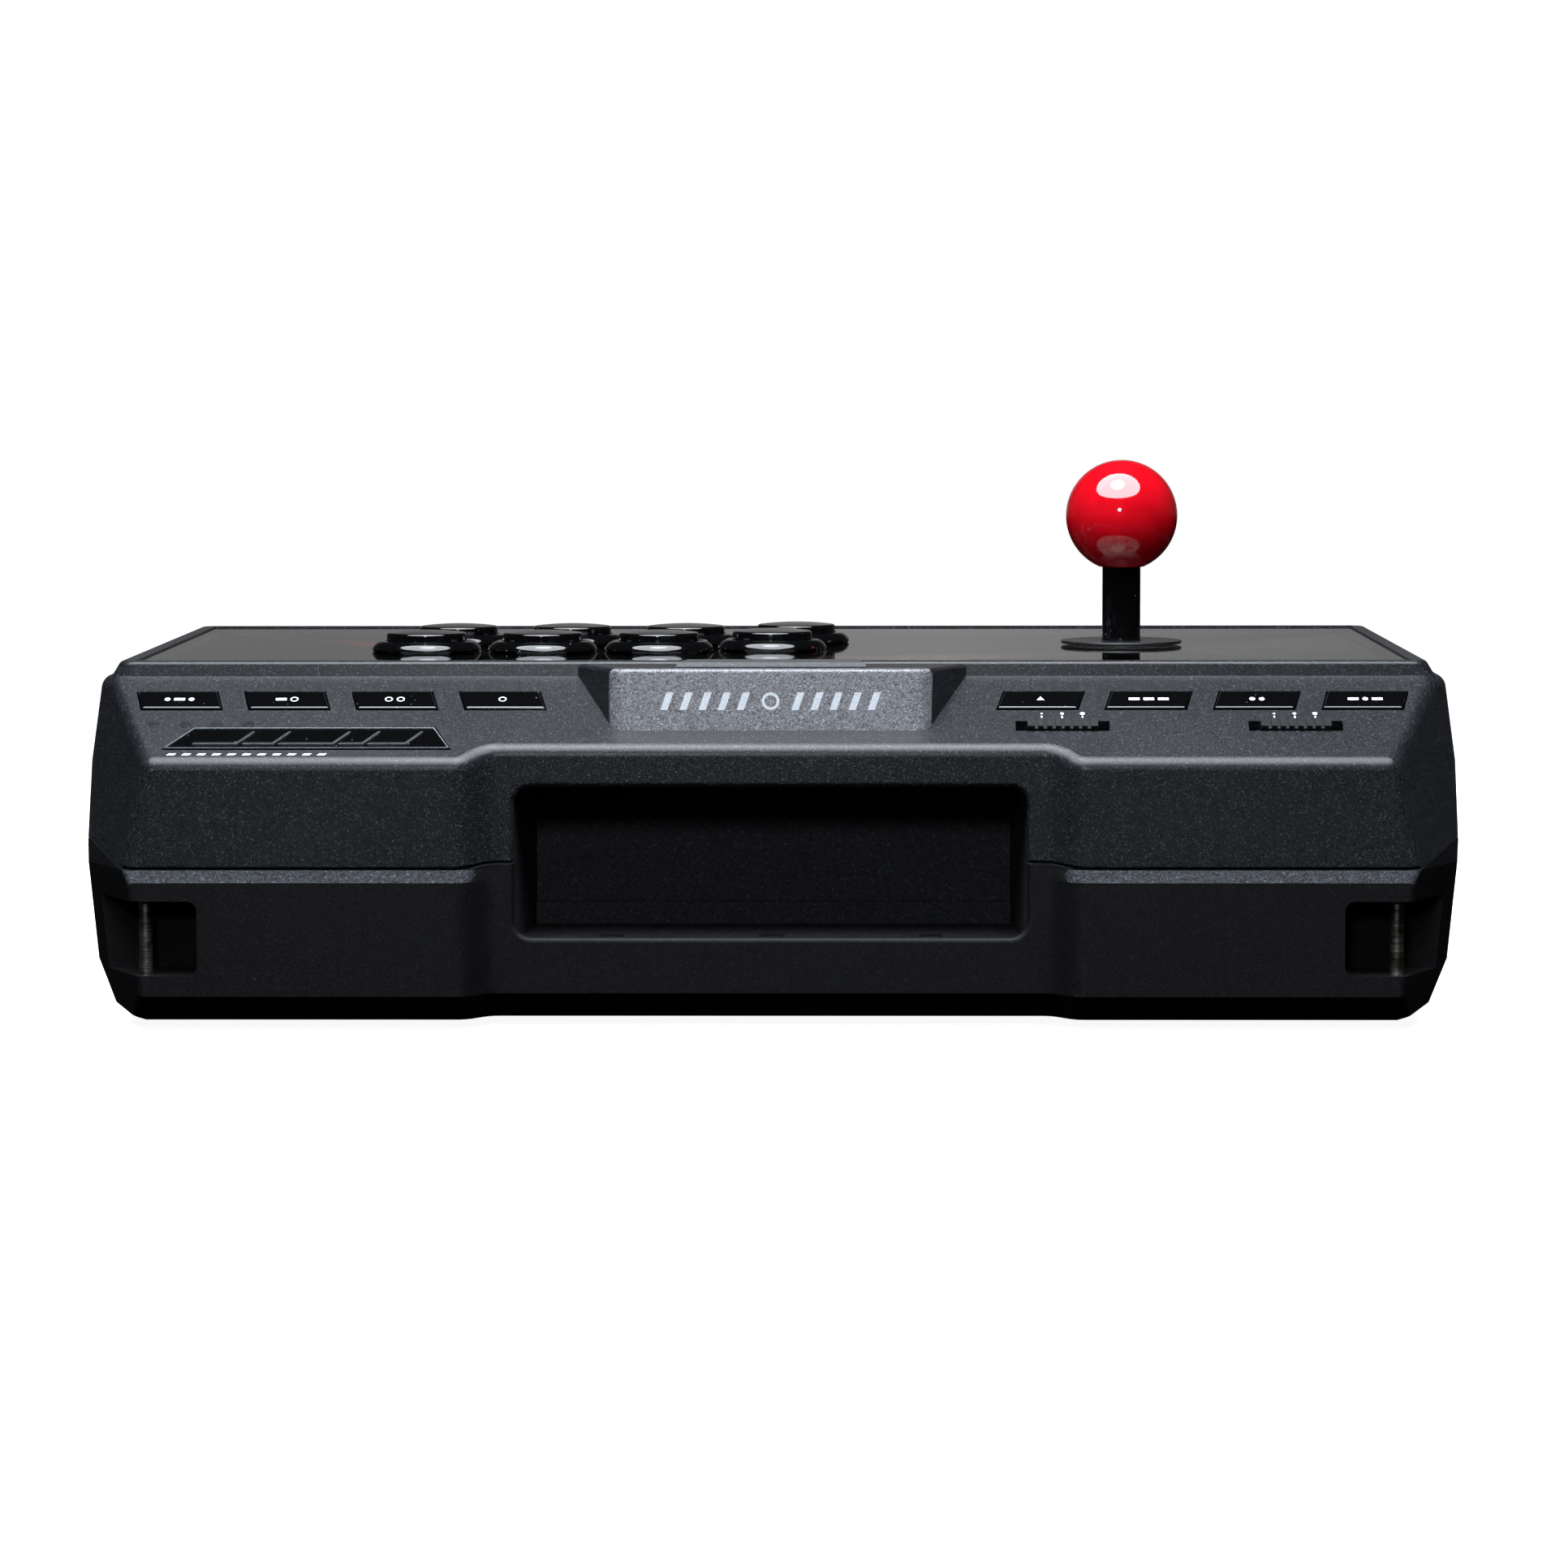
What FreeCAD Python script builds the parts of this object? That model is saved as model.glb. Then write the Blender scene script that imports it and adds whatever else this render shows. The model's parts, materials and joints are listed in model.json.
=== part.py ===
"""Arcade joystick panel: a two-shell console with a ball-top lever, eight 30 mm push buttons,
a sloping rear control strip, a cable bay in the back and two strap posts.

Millimetres. +X is the player's right, +Y points to the back, +Z is up. The origin is the bottom
centre of the whole object, on the surface that the rubber feet stand on."""
import math
import os

import FreeCAD
import Part

V = FreeCAD.Vector
os.makedirs("parts", exist_ok=True)

# ---- driving sizes: case -------------------------------------------------------------------
case_width = 407.2          # widest, across the upright side walls
case_depth = 252.0          # front wall to the back of the lower shell
rim_height = 106.0          # top of the raised panel frame above the ground
foot_height = 3.0           # how far the case floor is held up
wall = 2.8                  # moulded wall of both shells
edge_radius = 4.5           # rounding of the case's outer edges
frame_rise = 4.0            # raised frame above the case's shoulder
frame_top_width = 389.6
frame_top_depth = 199.4
frame_draft = (2.4, 0.6)    # how much wider the frame is at its foot: each side, front and back
frame_corner = 5.0
rim_width = 4.4             # frame rim around the clear cover
strip_depth = 39.7          # front to back of the sloping control strip
strip_angle = 30.0          # its slope from the horizontal
back_lip = 3.0              # the lower shell stands this far behind the upper one
corner_top_inset = 6.4      # back corner facet: its foremost point on the shoulder
back_top_inset = 21.7       # back wall's top corner, in from the case's widest side
back_seam_inset = 14.7      # back wall's corner at the seam
back_foot_inset = 19.6      # back wall's corner near its foot
side_break_height = 76.0    # the side wall leans in above this
side_lean = 3.0
seam_back_height = 47.4
seam_side_height = 54.0
seam_gap = 0.3
seam_groove = (1.2, 0.8)    # depth, height: shadow groove along the foot of the upper shell's back wall
centre_seam_rise = 1.2      # the seam steps up across the middle of the back
recess_width = 158.8        # flat middle of the back wall, set in from both ends of it
upper_recess = 6.0
step_width = 12.8           # length of the S-shaped step beside the recess
lip_chamfer_drop = 3.5      # height of the bevel along the lower shell's lip
foot_chamfer = (7.0, 7.6)   # in, up: bevel along the foot of the back wall
side_foot = ((3.6, 18.4), (9.9, 6.8), (20.6, 3.0))  # side wall's foot: inset, height
front_lean = 4.0            # the palm edge leans back by this
front_foot = ((4.0, 18.0), (15.0, 3.0))             # front wall's foot: inset, height
front_facet = (10.0, 16.0)  # plan size of the bevelled front corners

# ---- driving sizes: cable bay, strap pockets ------------------------------------------------
bay_width = 150.0
bay_back_width = 143.0
bay_depth = 56.0
bay_bottom = 27.0
bay_top = 71.0
bay_corner = 5.0
mouth_radius = 1.6          # rounding round the mouth
bay_lip = 1.6               # sill at the mouth, above the bay floor
bay_step = (6.8, 2.0)       # height and depth of the step along the foot of the bay's back
pocket_inner_x = 167.0
pocket_depth = 22.0
pocket_bottom = 16.6
pocket_top = 38.5
pocket_corner = 3.0
post_radius = 2.0
post_x = 182.6
post_inset = 5.5            # post axis in from the lower shell's back wall
post_socket = 3.0           # how deep each post end sits in the shell

# ---- driving sizes: panel stack ---------------------------------------------------------------
cover_drop = 0.5            # clear cover's face below the rim
cover_thickness = 2.0
sheet_thickness = 0.3
plate_thickness = 1.6
panel_clearance = 0.3
ledge_width = 8.0
ledge_thickness = 3.0
panel_screw_radius = 1.5
panel_screw_head = (3.0, 1.6)  # radius, height
panel_screw_length = 9.0

# ---- driving sizes: buttons -------------------------------------------------------------------
button_hole_radius = 15.1
button_fit = 0.2            # barrel under the hole
button_overhang = 1.8       # rim past the hole
button_rim_height = 3.3
button_rim_foot = 0.7       # height where the rim is widest
button_wall = 2.3
button_body_length = 25.0
button_floor = 2.0
plunger_fit = 0.25          # plunger under the bore
plunger_rise = 6.5          # cap above the clear cover
plunger_dome = 0.8
plunger_wall = 1.8
plunger_stem_radius = 2.5
plunger_travel = 2.5
button_pitch = 36.0
first_column_gap = 34.9     # the column beside the lever is a little closer
first_column_drop = 9.0     # and nearer the player
row_spacing = 39.0
row_shift = 7.0
button_top_row = (108.0, 22.7)  # rightmost button of the far row
switch_size = (18.0, 9.0, 7.0)
switch_tab = (3.2, 0.8, 5.0)
switch_tab_x = 4.0

# ---- driving sizes: lever -----------------------------------------------------------------------
lever_x = -108.6
lever_y = -10.6
ball_radius = 17.5
ball_centre_height = 146.2
shaft_radius = 4.0
cover_tube_radius = 6.0
lever_hole_radius = 12.0
pivot_depth = 13.0          # pivot centre below the panel plate
pivot_radius = 8.5
pivot_gap = 0.3
tilt_limit = 9.0            # degrees each way, where the actuator meets the gate
actuator_radius = 7.0
washer_radius = 19.0
washer_thickness = 1.0
washer_gap = 0.5
glide_radii = (12.5, 15.0)  # inner, outer
glide_thickness = 0.4
lever_body_width = 60.0
lever_body_height = 26.0
lever_body_wall = 2.0
pivot_seat_wall = 3.0
retainer_thickness = 1.2
spring_wire = 0.6           # wire radius
spring_turns = 5
shaft_tail = 6.0            # shaft below the gate
clip_drop = 4.0             # clip groove below the gate
clip_groove = (0.8, 1.1)    # depth, height
clip_thickness = 0.9
actuator_drop = 2.5         # actuator below the gate
gate_post_radius = 3.0
lever_board_thickness = 1.6
lever_switch = (20.0, 6.4, 10.0)
gate_thickness = 5.0
mount_plate = (95.0, 54.0, 1.6)
mount_screw_inset = (7.0, 6.0)
mount_corner = 3.0

# ---- driving sizes: control strip ----------------------------------------------------------------
key_size = (23.6, 9.3)
key_slant = 2.3
key_round = 0.8
key_gap = 0.4
key_first_x = 79.5
key_pitch = 31.9
key_down = 14.1             # key centre down the slope
key_rise = 0.6
key_travel = 0.8
key_flange = 1.0
key_stem_radius = 1.5
slot_size = (27.6, 5.2)
slot_x = (-85.6, -153.9)
slot_down = 27.4
knob_size = (20.6, 4.2)
knob_rise = 1.5
knob_ribs = 8
knob_foot = 1.0             # foot past the knob, and its thickness
knob_travel = 3.0
slide_body_wall = 0.9
slide_body_depth = 5.0
led_radius = 1.6
led_first_x = 153.6
led_pitch = 9.3
led_down = 26.6
badge_front = (98.3, 169.7)  # X of its two front corners
badge_back = (93.1, 177.9)   # X of its two back corners
badge_length = 11.6          # front to back along the slope
badge_down = 34.0
badge_depth = 0.8
badge_pocket = 0.6
board_thickness = 1.6
board_depth = 8.0           # key board below the strip's face
led_rise = 0.2

# ---- driving sizes: raised box and touch pad -----------------------------------------------------
box_front_width = 116.0
box_back_width = 93.0
box_length = 24.2           # how far it runs out from the raised frame
box_drop = 0.8              # its top below the rim
box_corner = 5.0            # rounding of its upright back corners
box_back_draft = 5.0        # degrees that its back face leans
box_side_draft = 0.5        # its back corners lean in by this at their foot
box_crest = 1.4
pad_front_width = 50.0
pad_back_width = 56.0
pad_length = 16.4
pad_inset = 4.6             # pad's back edge in from the box's back face
pad_rise = 1.5
pad_bevel = (1.2, 1.8)      # height, length of the bevel along its back edge
pad_gap = 0.4

# ---- driving sizes: fasteners, feet and electronics ----------------------------------------------
screw_clearance = 0.05
case_screw_radius = 1.5
case_screw_head = (3.0, 2.0)
case_screw_length = 24.0
case_boss_radius = 4.0
case_boss_split = 40.0      # where the two shells' bosses meet
head_pocket_radius = 3.6
side_boss = (16.6, (40.0, -85.0))    # in from the side wall; places along Y
front_boss = (90.0, 18.1)            # X; in from the front wall
rear_boss = (118.0, 12.5)            # X; in from the upper back wall
bay_screw_x = 47.0
bay_screw_head = (3.6, 1.2)
foot_radius = 11.0
foot_place = (150.0, 62.0)           # X; in from the front and back walls
foot_dish = (5.0, 1.0)
foot_edge = 0.8
main_board_size = (110.0, 62.0)
main_board_y = 8.0
standoff = (3.0, 8.0)        # radius, height
board_screw_inset = 6.0
chip_size = (14.0, 14.0, 1.2)
plug_size = (18.0, 6.0, 6.0)
plug_inset = 2.0
plug_x = 36.0
inlet_size = (12.0, 15.0, 7.0)
inlet_port = (8.4, 3.2, 9.0)
inlet_place = (48.0, 63.4)
inlet_flange = (2.0, 1.5)   # past the body, thickness
inlet_proud = 1.0
lever_screw_radius = 2.0
lever_screw_head = (3.6, 2.2)

# ---- derived places ------------------------------------------------------------------------------
half_width = case_width / 2
corner_top_x = half_width - corner_top_inset
back_top_x = half_width - back_top_inset
back_seam_x = half_width - back_seam_inset
back_foot_x = half_width - back_foot_inset
back_y = case_depth / 2
front_y = -case_depth / 2
upper_back_y = back_y - back_lip
strip_front_y = upper_back_y - strip_depth
shoulder_z = rim_height - frame_rise
slope = math.radians(strip_angle)
strip_edge_z = shoulder_z - strip_depth * math.tan(slope)
floor_z = foot_height
centre_back_y = upper_back_y - upper_recess
frame_back_y = strip_front_y
frame_front_y = frame_back_y - frame_top_depth
cover_top = rim_height - cover_drop
cover_bottom = cover_top - cover_thickness
sheet_bottom = cover_bottom - sheet_thickness
plate_bottom = sheet_bottom - plate_thickness
inner_half_x = frame_top_width / 2 - rim_width
inner_back_y = frame_back_y - rim_width
inner_front_y = frame_front_y + rim_width
button_body_radius = button_hole_radius - button_fit
button_bore_radius = button_body_radius - button_wall
button_rim_radius = button_hole_radius + button_overhang
plunger_radius = button_bore_radius - plunger_fit
pivot_z = plate_bottom - pivot_depth
lever_body_top = plate_bottom - mount_plate[2]
lever_body_bottom = lever_body_top - lever_body_height
lever_board_bottom = lever_body_bottom - lever_board_thickness
gate_top = lever_board_bottom - lever_switch[2]
gate_bottom = gate_top - gate_thickness
tilt = math.radians(tilt_limit)
actuator_reach = actuator_radius / math.cos(tilt) + (pivot_z - gate_bottom) * math.tan(tilt)
far = 400.0


# ---- small tools ---------------------------------------------------------------------------------
def save(name, *solids):
    shape = solids[0] if len(solids) == 1 else Part.makeCompound(list(solids))
    shape.exportStep("parts/" + name + ".step")
    box = shape.BoundBox
    print("%-22s solids %2d  valid %s  volume %9.0f  %.1f x %.1f x %.1f" % (
        name, len(shape.Solids), shape.isValid(), shape.Volume, box.XLength, box.YLength, box.ZLength))


def block(low, high):
    return Part.makeBox(high[0] - low[0], high[1] - low[1], high[2] - low[2], V(*low))


def cylinder(x, y, z, radius, height):
    return Part.makeCylinder(radius, height, V(x, y, z))


def ring(x, y, z, outer, inner, height):
    return cylinder(x, y, z, outer, height).cut(cylinder(x, y, z - 1, inner, height + 2))


def join(shapes):
    return shapes[0].multiFuse(shapes[1:]).removeSplitter() if len(shapes) > 1 else shapes[0]


def outside(point, normal):
    """A large block on the outer side of a plane."""
    slab = Part.makeBox(6 * far, 6 * far, 3 * far, V(-3 * far, -3 * far, 0))
    slab.Placement = FreeCAD.Placement(V(*point), FreeCAD.Rotation(V(0, 0, 1), V(*normal)))
    return slab


def convex(planes, inset=0.0):
    """The solid inside every plane, each plane moved in by inset."""
    body = block((-far, -far, -far), (far, far, far))
    for point, normal in planes:
        n = V(*normal).normalize()
        body = body.cut(outside(tuple(V(*point) - n * inset), tuple(n)))
    return body


def prism(points, direction):
    wire = Part.makePolygon([V(*p) for p in points] + [V(*points[0])])
    return Part.Face(wire).extrude(V(*direction))


def plane_through(a, b, c):
    """Point and normal of a plane through three points, seen counter-clockwise from outside."""
    return a, tuple((V(*b) - V(*a)).cross(V(*c) - V(*a)))


def mirrored(planes):
    """The planes with their mirror images in X."""
    return planes + [((-p[0], p[1], p[2]), (-n[0], n[1], n[2])) for p, n in planes]


def mirror_x(shape):
    return shape.mirror(V(0, 0, 0), V(1, 0, 0))


def round_box(low, high, radius):
    body = block(low, high)
    return body.makeFillet(radius, [e for e in body.Edges if abs(e.tangentAt(0).z) > 0.99])


def edges_where(shape, test):
    return [e for e in shape.Edges if test(e)]


def on_strip(shape):
    """Moves a shape from the strip's own frame, +Y down the slope and +Z out of it, to the case."""
    moved = shape.copy()
    turn = FreeCAD.Rotation(V(1, 0, 0), -strip_angle)
    moved.Placement = FreeCAD.Placement(V(0, strip_front_y, shoulder_z), turn).multiply(moved.Placement)
    return moved


# ---- the case's outer form -----------------------------------------------------------------------
def back_outline(z, y_outer, y_middle):
    """Closed wire around the space behind the back wall, with an S-shaped step at each end of the
    set-back middle."""
    inner_x = recess_width / 2
    outer_x = inner_x + step_width
    middle_x = (inner_x + outer_x) / 2

    def line(a, b):
        return Part.LineSegment(V(a[0], a[1], z), V(b[0], b[1], z)).toShape()

    def step(side):
        curve = Part.BezierCurve()
        curve.setPoles([V(side * x, y, z) for x, y in (
            (outer_x, y_outer), (middle_x, y_outer), (middle_x, y_middle), (inner_x, y_middle))])
        return curve.toShape()

    edges = [line((-far, y_outer), (-outer_x, y_outer)), step(-1),
             line((-inner_x, y_middle), (inner_x, y_middle)), step(1),
             line((outer_x, y_outer), (far, y_outer)), line((far, y_outer), (far, far)),
             line((far, far), (-far, far)), line((-far, far), (-far, y_outer))]
    return Part.Wire(Part.__sortEdges__(edges))


def behind(levels, inset=0.0):
    """The space behind the back wall; each level is a height and the wall's place outside and inside
    the set-back middle."""
    pieces = []
    for low, high in zip(levels, levels[1:]):
        base = back_outline(low[0], low[1] - inset, low[2] - inset)
        if low[1:] == high[1:]:
            pieces.append(Part.Face(base).extrude(V(0, 0, high[0] - low[0])))
        else:
            crown = back_outline(high[0], high[1] - inset, high[2] - inset)
            pieces.append(Part.makeLoft([base, crown], True, True))
    return join(pieces)


def corner_planes():
    """The two leaning facets of a back corner, meeting at the seam."""
    top = (back_top_x, upper_back_y, strip_edge_z)
    seam = (back_seam_x, upper_back_y, seam_back_height)
    shoulder = (corner_top_x, strip_front_y, shoulder_z)
    upper = plane_through(seam, shoulder, top)
    run = V(*upper[1]).cross(V(0, 0, 1))
    along = (seam[0] + run.x, seam[1] + run.y, seam[2])
    foot = (back_foot_x, back_y, floor_z + foot_chamfer[1])
    lower = plane_through(seam, along, foot)
    return [face if face[1][0] > 0 else (face[0], tuple(-n for n in face[1])) for face in (upper, lower)]


def slanted(axis, a, b):
    """A plane through two (reach, height) points, leaning about X or Y, facing outwards."""
    dr, dz = b[0] - a[0], b[1] - a[1]
    out = (dz, -dr) if dz > 0 else (-dz, dr)
    if axis == "x":
        return (a[0], 0, a[1]), (out[0], 0, out[1])
    return (0, -a[0], a[1]), (0, -out[0], out[1])


def case_planes():
    """Every flat face of the case except the back wall and the back's foot."""
    side = [(half_width, seam_side_height)] + [(half_width - inset, z) for inset, z in side_foot]
    front = [(-front_y, seam_side_height)] + [(-front_y - inset, z) for inset, z in front_foot]
    right = [slanted("x", a, b) for a, b in zip(side, side[1:])]
    right += [((half_width, 0, 0), (1, 0, 0)),
              slanted("x", (half_width, side_break_height), (half_width - side_lean, shoulder_z)),
              ((half_width, front_y + front_facet[1], 0), (front_facet[1], -front_facet[0], 0))]
    right += corner_planes()
    planes = mirrored(right)
    planes += [slanted("y", a, b) for a, b in zip(front, front[1:])]
    planes += [slanted("y", (-front_y, seam_side_height), (-front_y - front_lean, shoulder_z)),
               ((0, 0, shoulder_z), (0, 0, 1)), ((0, 0, floor_z), (0, 0, -1)),
               ((0, strip_front_y, shoulder_z), (0, math.sin(slope), math.cos(slope)))]
    return planes


def below_seam(shift=0.0):
    """The space under the seam: level at the back, climbing round the corners to the sides, with a
    small step up across the middle of the back."""
    corner_y = upper_back_y - 2 * back_seam_inset
    side = [(0, -far, -far), (0, -far, seam_side_height), (0, corner_y, seam_side_height),
            (0, upper_back_y, seam_back_height), (0, far, seam_back_height), (0, far, -far)]
    body = prism([(-far, y, z) for x, y, z in side], (2 * far, 0, 0))
    inner_x = recess_width / 2
    outer_x = inner_x + step_width
    rise = [(-outer_x, seam_back_height), (-inner_x, seam_back_height + centre_seam_rise),
            (inner_x, seam_back_height + centre_seam_rise), (outer_x, seam_back_height),
            (outer_x, seam_back_height - wall), (-outer_x, seam_back_height - wall)]
    step = prism([(x, corner_y, z) for x, z in rise], (0, far, 0))
    body = body.fuse(step)
    body.translate(V(0, 0, shift))
    return body


def upper_levels():
    return [(0, upper_back_y, centre_back_y), (2 * rim_height, upper_back_y, centre_back_y)]


def lower_levels():
    foot_in, foot_up = foot_chamfer
    return [(floor_z, back_y - foot_in, centre_back_y - foot_in),
            (floor_z + foot_up, back_y, centre_back_y),
            (seam_back_height - lip_chamfer_drop, back_y, centre_back_y),
            (seam_back_height, upper_back_y, centre_back_y),
            (2 * rim_height, upper_back_y, centre_back_y)]


def frame_form(inset=0.0):
    """The raised frame around the panel, with sloping skirts at its sides and steep ones in front
    and behind."""
    foot_z = shoulder_z - frame_rise
    side_spread, end_spread = [d / frame_rise for d in frame_draft]
    top = rim_height
    middle_y = (frame_back_y + frame_front_y) / 2
    half_x, half_y = frame_top_width / 2, frame_top_depth / 2
    planes = [((half_x, 0, top), (1, 0, side_spread)), ((-half_x, 0, top), (-1, 0, side_spread)),
              ((0, middle_y + half_y, top), (0, 1, end_spread)),
              ((0, middle_y - half_y, top), (0, -1, end_spread)),
              ((0, 0, top), (0, 0, 1)), ((0, 0, foot_z), (0, 0, -1))]
    body = convex(planes, inset)
    upright = edges_where(body, lambda e: abs(e.tangentAt(0).z) > 0.5)
    body = body.makeFillet(frame_corner, upright)
    rim = edges_where(body, lambda e: e.BoundBox.ZMin > top - inset - 0.01)
    return body.makeFillet(rim_width / 3, rim)


def box_form(inset=0.0):
    """The raised box that runs out of the frame over the control strip."""
    back = frame_back_y + box_length
    top = rim_height - box_drop
    fall = box_length * math.tan(slope) + frame_rise
    lean = math.tan(math.radians(box_back_draft))
    root = (box_front_width / 2, frame_back_y, shoulder_z)
    crown = (box_back_width / 2, back, top)
    foot = (box_back_width / 2 - box_side_draft, back + fall * lean, top - fall)
    side = plane_through(root, foot, crown)
    if side[1][0] < 0:
        side = (side[0], tuple(-n for n in side[1]))
    planes = mirrored([side]) + [((0, 0, top), (0, 0, 1)), ((0, back, top), (0, 1, lean)),
                                 ((0, frame_back_y - rim_width / 2, 0), (0, -1, 0)),
                                 ((0, 0, shoulder_z - box_length), (0, 0, -1))]
    return convex(planes, inset)


# ---- places of what repeats ----------------------------------------------------------------------
def button_places():
    """Centres of the eight buttons: the far row from the right, then the near row."""
    places = []
    for row in range(2):
        x, y = button_top_row[0] - row * row_shift, button_top_row[1] - row * row_spacing
        places += [(x - i * button_pitch, y) for i in range(3)]
        places.append((x - 2 * button_pitch - first_column_gap, y - first_column_drop))
    return places


def key_places():
    """X of the eight function keys, from the right."""
    right = [key_first_x + i * key_pitch for i in reversed(range(4))]
    return right + [-x for x in reversed(right)]


def case_boss_places():
    side_x = half_width - side_boss[0]
    right = [(side_x, y) for y in side_boss[1]]
    right += [(front_boss[0], front_y + front_boss[1]), (rear_boss[0], upper_back_y - rear_boss[1])]
    return right + [(-x, y) for x, y in right]


def panel_screw_places():
    x = inner_half_x - ledge_width / 2
    ys = (inner_front_y + ledge_width / 2, inner_back_y - ledge_width / 2)
    return [(sx * x, y) for y in ys for sx in (-1, 0, 1)]


def foot_places():
    x, inset = foot_place
    return [(sx * x, y) for sx in (-1, 1) for y in (front_y + inset, back_y - inset)]


def lever_screw_places():
    dx, dy = mount_plate[0] / 2 - mount_screw_inset[0], mount_plate[1] / 2 - mount_screw_inset[1]
    return [(lever_x + sx * dx, lever_y + sy * dy) for sx in (-1, 1) for sy in (-1, 1)]


def standoff_places():
    dx, dy = main_board_size[0] / 2 - board_screw_inset, main_board_size[1] / 2 - board_screw_inset
    return [(sx * dx, main_board_y + sy * dy) for sx in (-1, 1) for sy in (-1, 1)]


# ---- outlines on the control strip ---------------------------------------------------------------
def slanted_plate(x, down, width, length, slant, low, high):
    """A plate whose two ends slant towards the middle of the case going back."""
    lean = slant / 2 if x > 0 else -slant / 2
    half_w, half_l = width / 2, length / 2
    points = [(x - half_w + lean, down - half_l, low), (x + half_w + lean, down - half_l, low),
              (x + half_w - lean, down + half_l, low), (x - half_w - lean, down + half_l, low)]
    return prism(points, (0, 0, high - low))


def key_plate(x, grow, low, high):
    width, length = key_size[0] + 2 * grow, key_size[1] + 2 * grow
    return slanted_plate(x, key_down, width, length, key_slant, low, high)


def badge_plate(grow, low, high):
    """The inlay's outline, wider at its back edge."""
    front, back = badge_down - badge_length / 2 - grow, badge_down + badge_length / 2 + grow
    points = [(badge_front[0] - grow, front, low), (badge_front[1] + grow, front, low),
              (badge_back[1] + grow, back, low), (badge_back[0] - grow, back, low)]
    return prism(points, (0, 0, high - low))


def pad_plate(grow, low, high):
    """The touch pad's outline, wider at its back edge."""
    back = frame_back_y + box_length - pad_inset + grow
    front = back - pad_length - 2 * grow
    points = [(-pad_front_width / 2 - grow, front, low), (pad_front_width / 2 + grow, front, low),
              (pad_back_width / 2 + grow, back, low), (-pad_back_width / 2 - grow, back, low)]
    return prism(points, (0, 0, high - low))


# ---- top shell -----------------------------------------------------------------------------------
def upper_form(inset=0.0):
    return convex(case_planes(), inset).cut(behind(upper_levels(), inset))


def upper_skin():
    """Outer solid of the top shell, with its edges rounded."""
    body = upper_form().cut(below_seam(seam_gap / 2))
    rounded = edges_where(body, lambda e: e.BoundBox.ZMax > seam_side_height + seam_gap
                          or abs(e.tangentAt(e.FirstParameter).z) > 0.5)
    return body.makeFillet(edge_radius, rounded)


def box_skin():
    """Outer solid of the raised box: broad upright corners and a softly rounded crest."""
    body = box_form()
    corners = edges_where(body, lambda e: e.BoundBox.ZLength > frame_rise
                          and e.BoundBox.YMin > frame_back_y + box_length / 2)
    body = body.makeFillet(box_corner, corners)
    crest = edges_where(body, lambda e: e.BoundBox.ZMin > rim_height - box_drop - 0.01
                        and e.BoundBox.YMax > frame_back_y)
    return body.makeFillet(box_crest, crest)


def panel_block(grow, low, high):
    """A block over the panel's pocket, grown or shrunk all round."""
    return block((-inner_half_x - grow, inner_front_y - grow, low),
                 (inner_half_x + grow, inner_back_y + grow, high))


def bay_mouth(low_y, high_y, grow=0.0):
    """The cable bay's rounded opening as a bar through the back wall."""
    body = block((-bay_width / 2 - grow, low_y, bay_bottom - grow),
                 (bay_width / 2 + grow, high_y, bay_top + grow))
    return body.makeFillet(bay_corner + grow, edges_where(body, lambda e: abs(e.tangentAt(0).y) > 0.99))


def round_mouth(shell):
    """Rounds the edge that runs round the bay's mouth on the back wall."""
    def at_mouth(edge):
        box = edge.BoundBox
        return (box.YMin > centre_back_y - 0.01 and box.YMax < centre_back_y + 0.01
                and abs(box.Center.x) < bay_width / 2 + 0.01 and box.XLength < bay_width + 0.01
                and bay_bottom - 0.01 < box.ZMin and box.ZMax < bay_top + 0.01)
    return shell.makeFillet(mouth_radius, edges_where(shell, at_mouth))


def strip_cuts():
    cuts = [key_plate(x, key_gap, -2 * wall, wall) for x in key_places()]
    for x in slot_x:
        dx, dy = slot_size[0] / 2, slot_size[1] / 2
        cuts.append(block((x - dx, slot_down - dy, -2 * wall), (x + dx, slot_down + dy, wall)))
    cuts += [cylinder(x, led_down, -2 * wall, led_radius + screw_clearance, 3 * wall) for x in led_xs()]
    cuts.append(badge_plate(screw_clearance, -badge_pocket, wall))
    return [on_strip(c) for c in cuts]


def led_xs():
    return [led_first_x + i * led_pitch for i in range(4)]


def top_shell():
    """Upper moulding: walls, control strip, raised frame and box, panel ledge and screw bosses."""
    skin = join([upper_skin(), frame_form(), box_skin()])
    hollow = join([upper_form(wall), box_form(wall)])
    ledge = panel_block(rim_width / 2, plate_bottom - ledge_thickness, plate_bottom)
    bosses = [cylinder(x, y, case_boss_split + seam_gap, case_boss_radius, rim_height)
              for x, y in case_boss_places()]
    bosses = [b.common(upper_form(wall / 2)) for b in bosses]
    body = join([skin.cut(hollow), ledge] + bosses)
    body = body.cut(panel_block(0, plate_bottom, 2 * rim_height))
    body = body.cut(panel_block(-ledge_width, floor_z, 2 * rim_height))
    pilot = case_screw_radius + screw_clearance
    drill = [cylinder(x, y, 0, pilot, case_screw_top() + 1) for x, y in case_boss_places()]
    pilot = panel_screw_radius + screw_clearance
    drill += [cylinder(x, y, plate_bottom - 3 * ledge_thickness, pilot, rim_height)
              for x, y in panel_screw_places()]
    pad = pad_plate(pad_gap, rim_height - box_drop - 2 * wall, 2 * rim_height)
    mouth = bay_mouth(centre_back_y - 2 * wall, back_y + wall)
    body = round_mouth(body.cut(together(drill + strip_cuts() + [pad, mouth])))
    return body.cut(shadow_groove())


def shadow_groove():
    """The band cut along the foot of the upper shell's back wall, so that the seam reads as a dark line."""
    depth, height = seam_groove
    band = below_seam(seam_gap / 2 + height).cut(upper_form(depth))
    return band.common(block((-back_seam_x, 0, 0), (back_seam_x, far, rim_height)))


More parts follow.
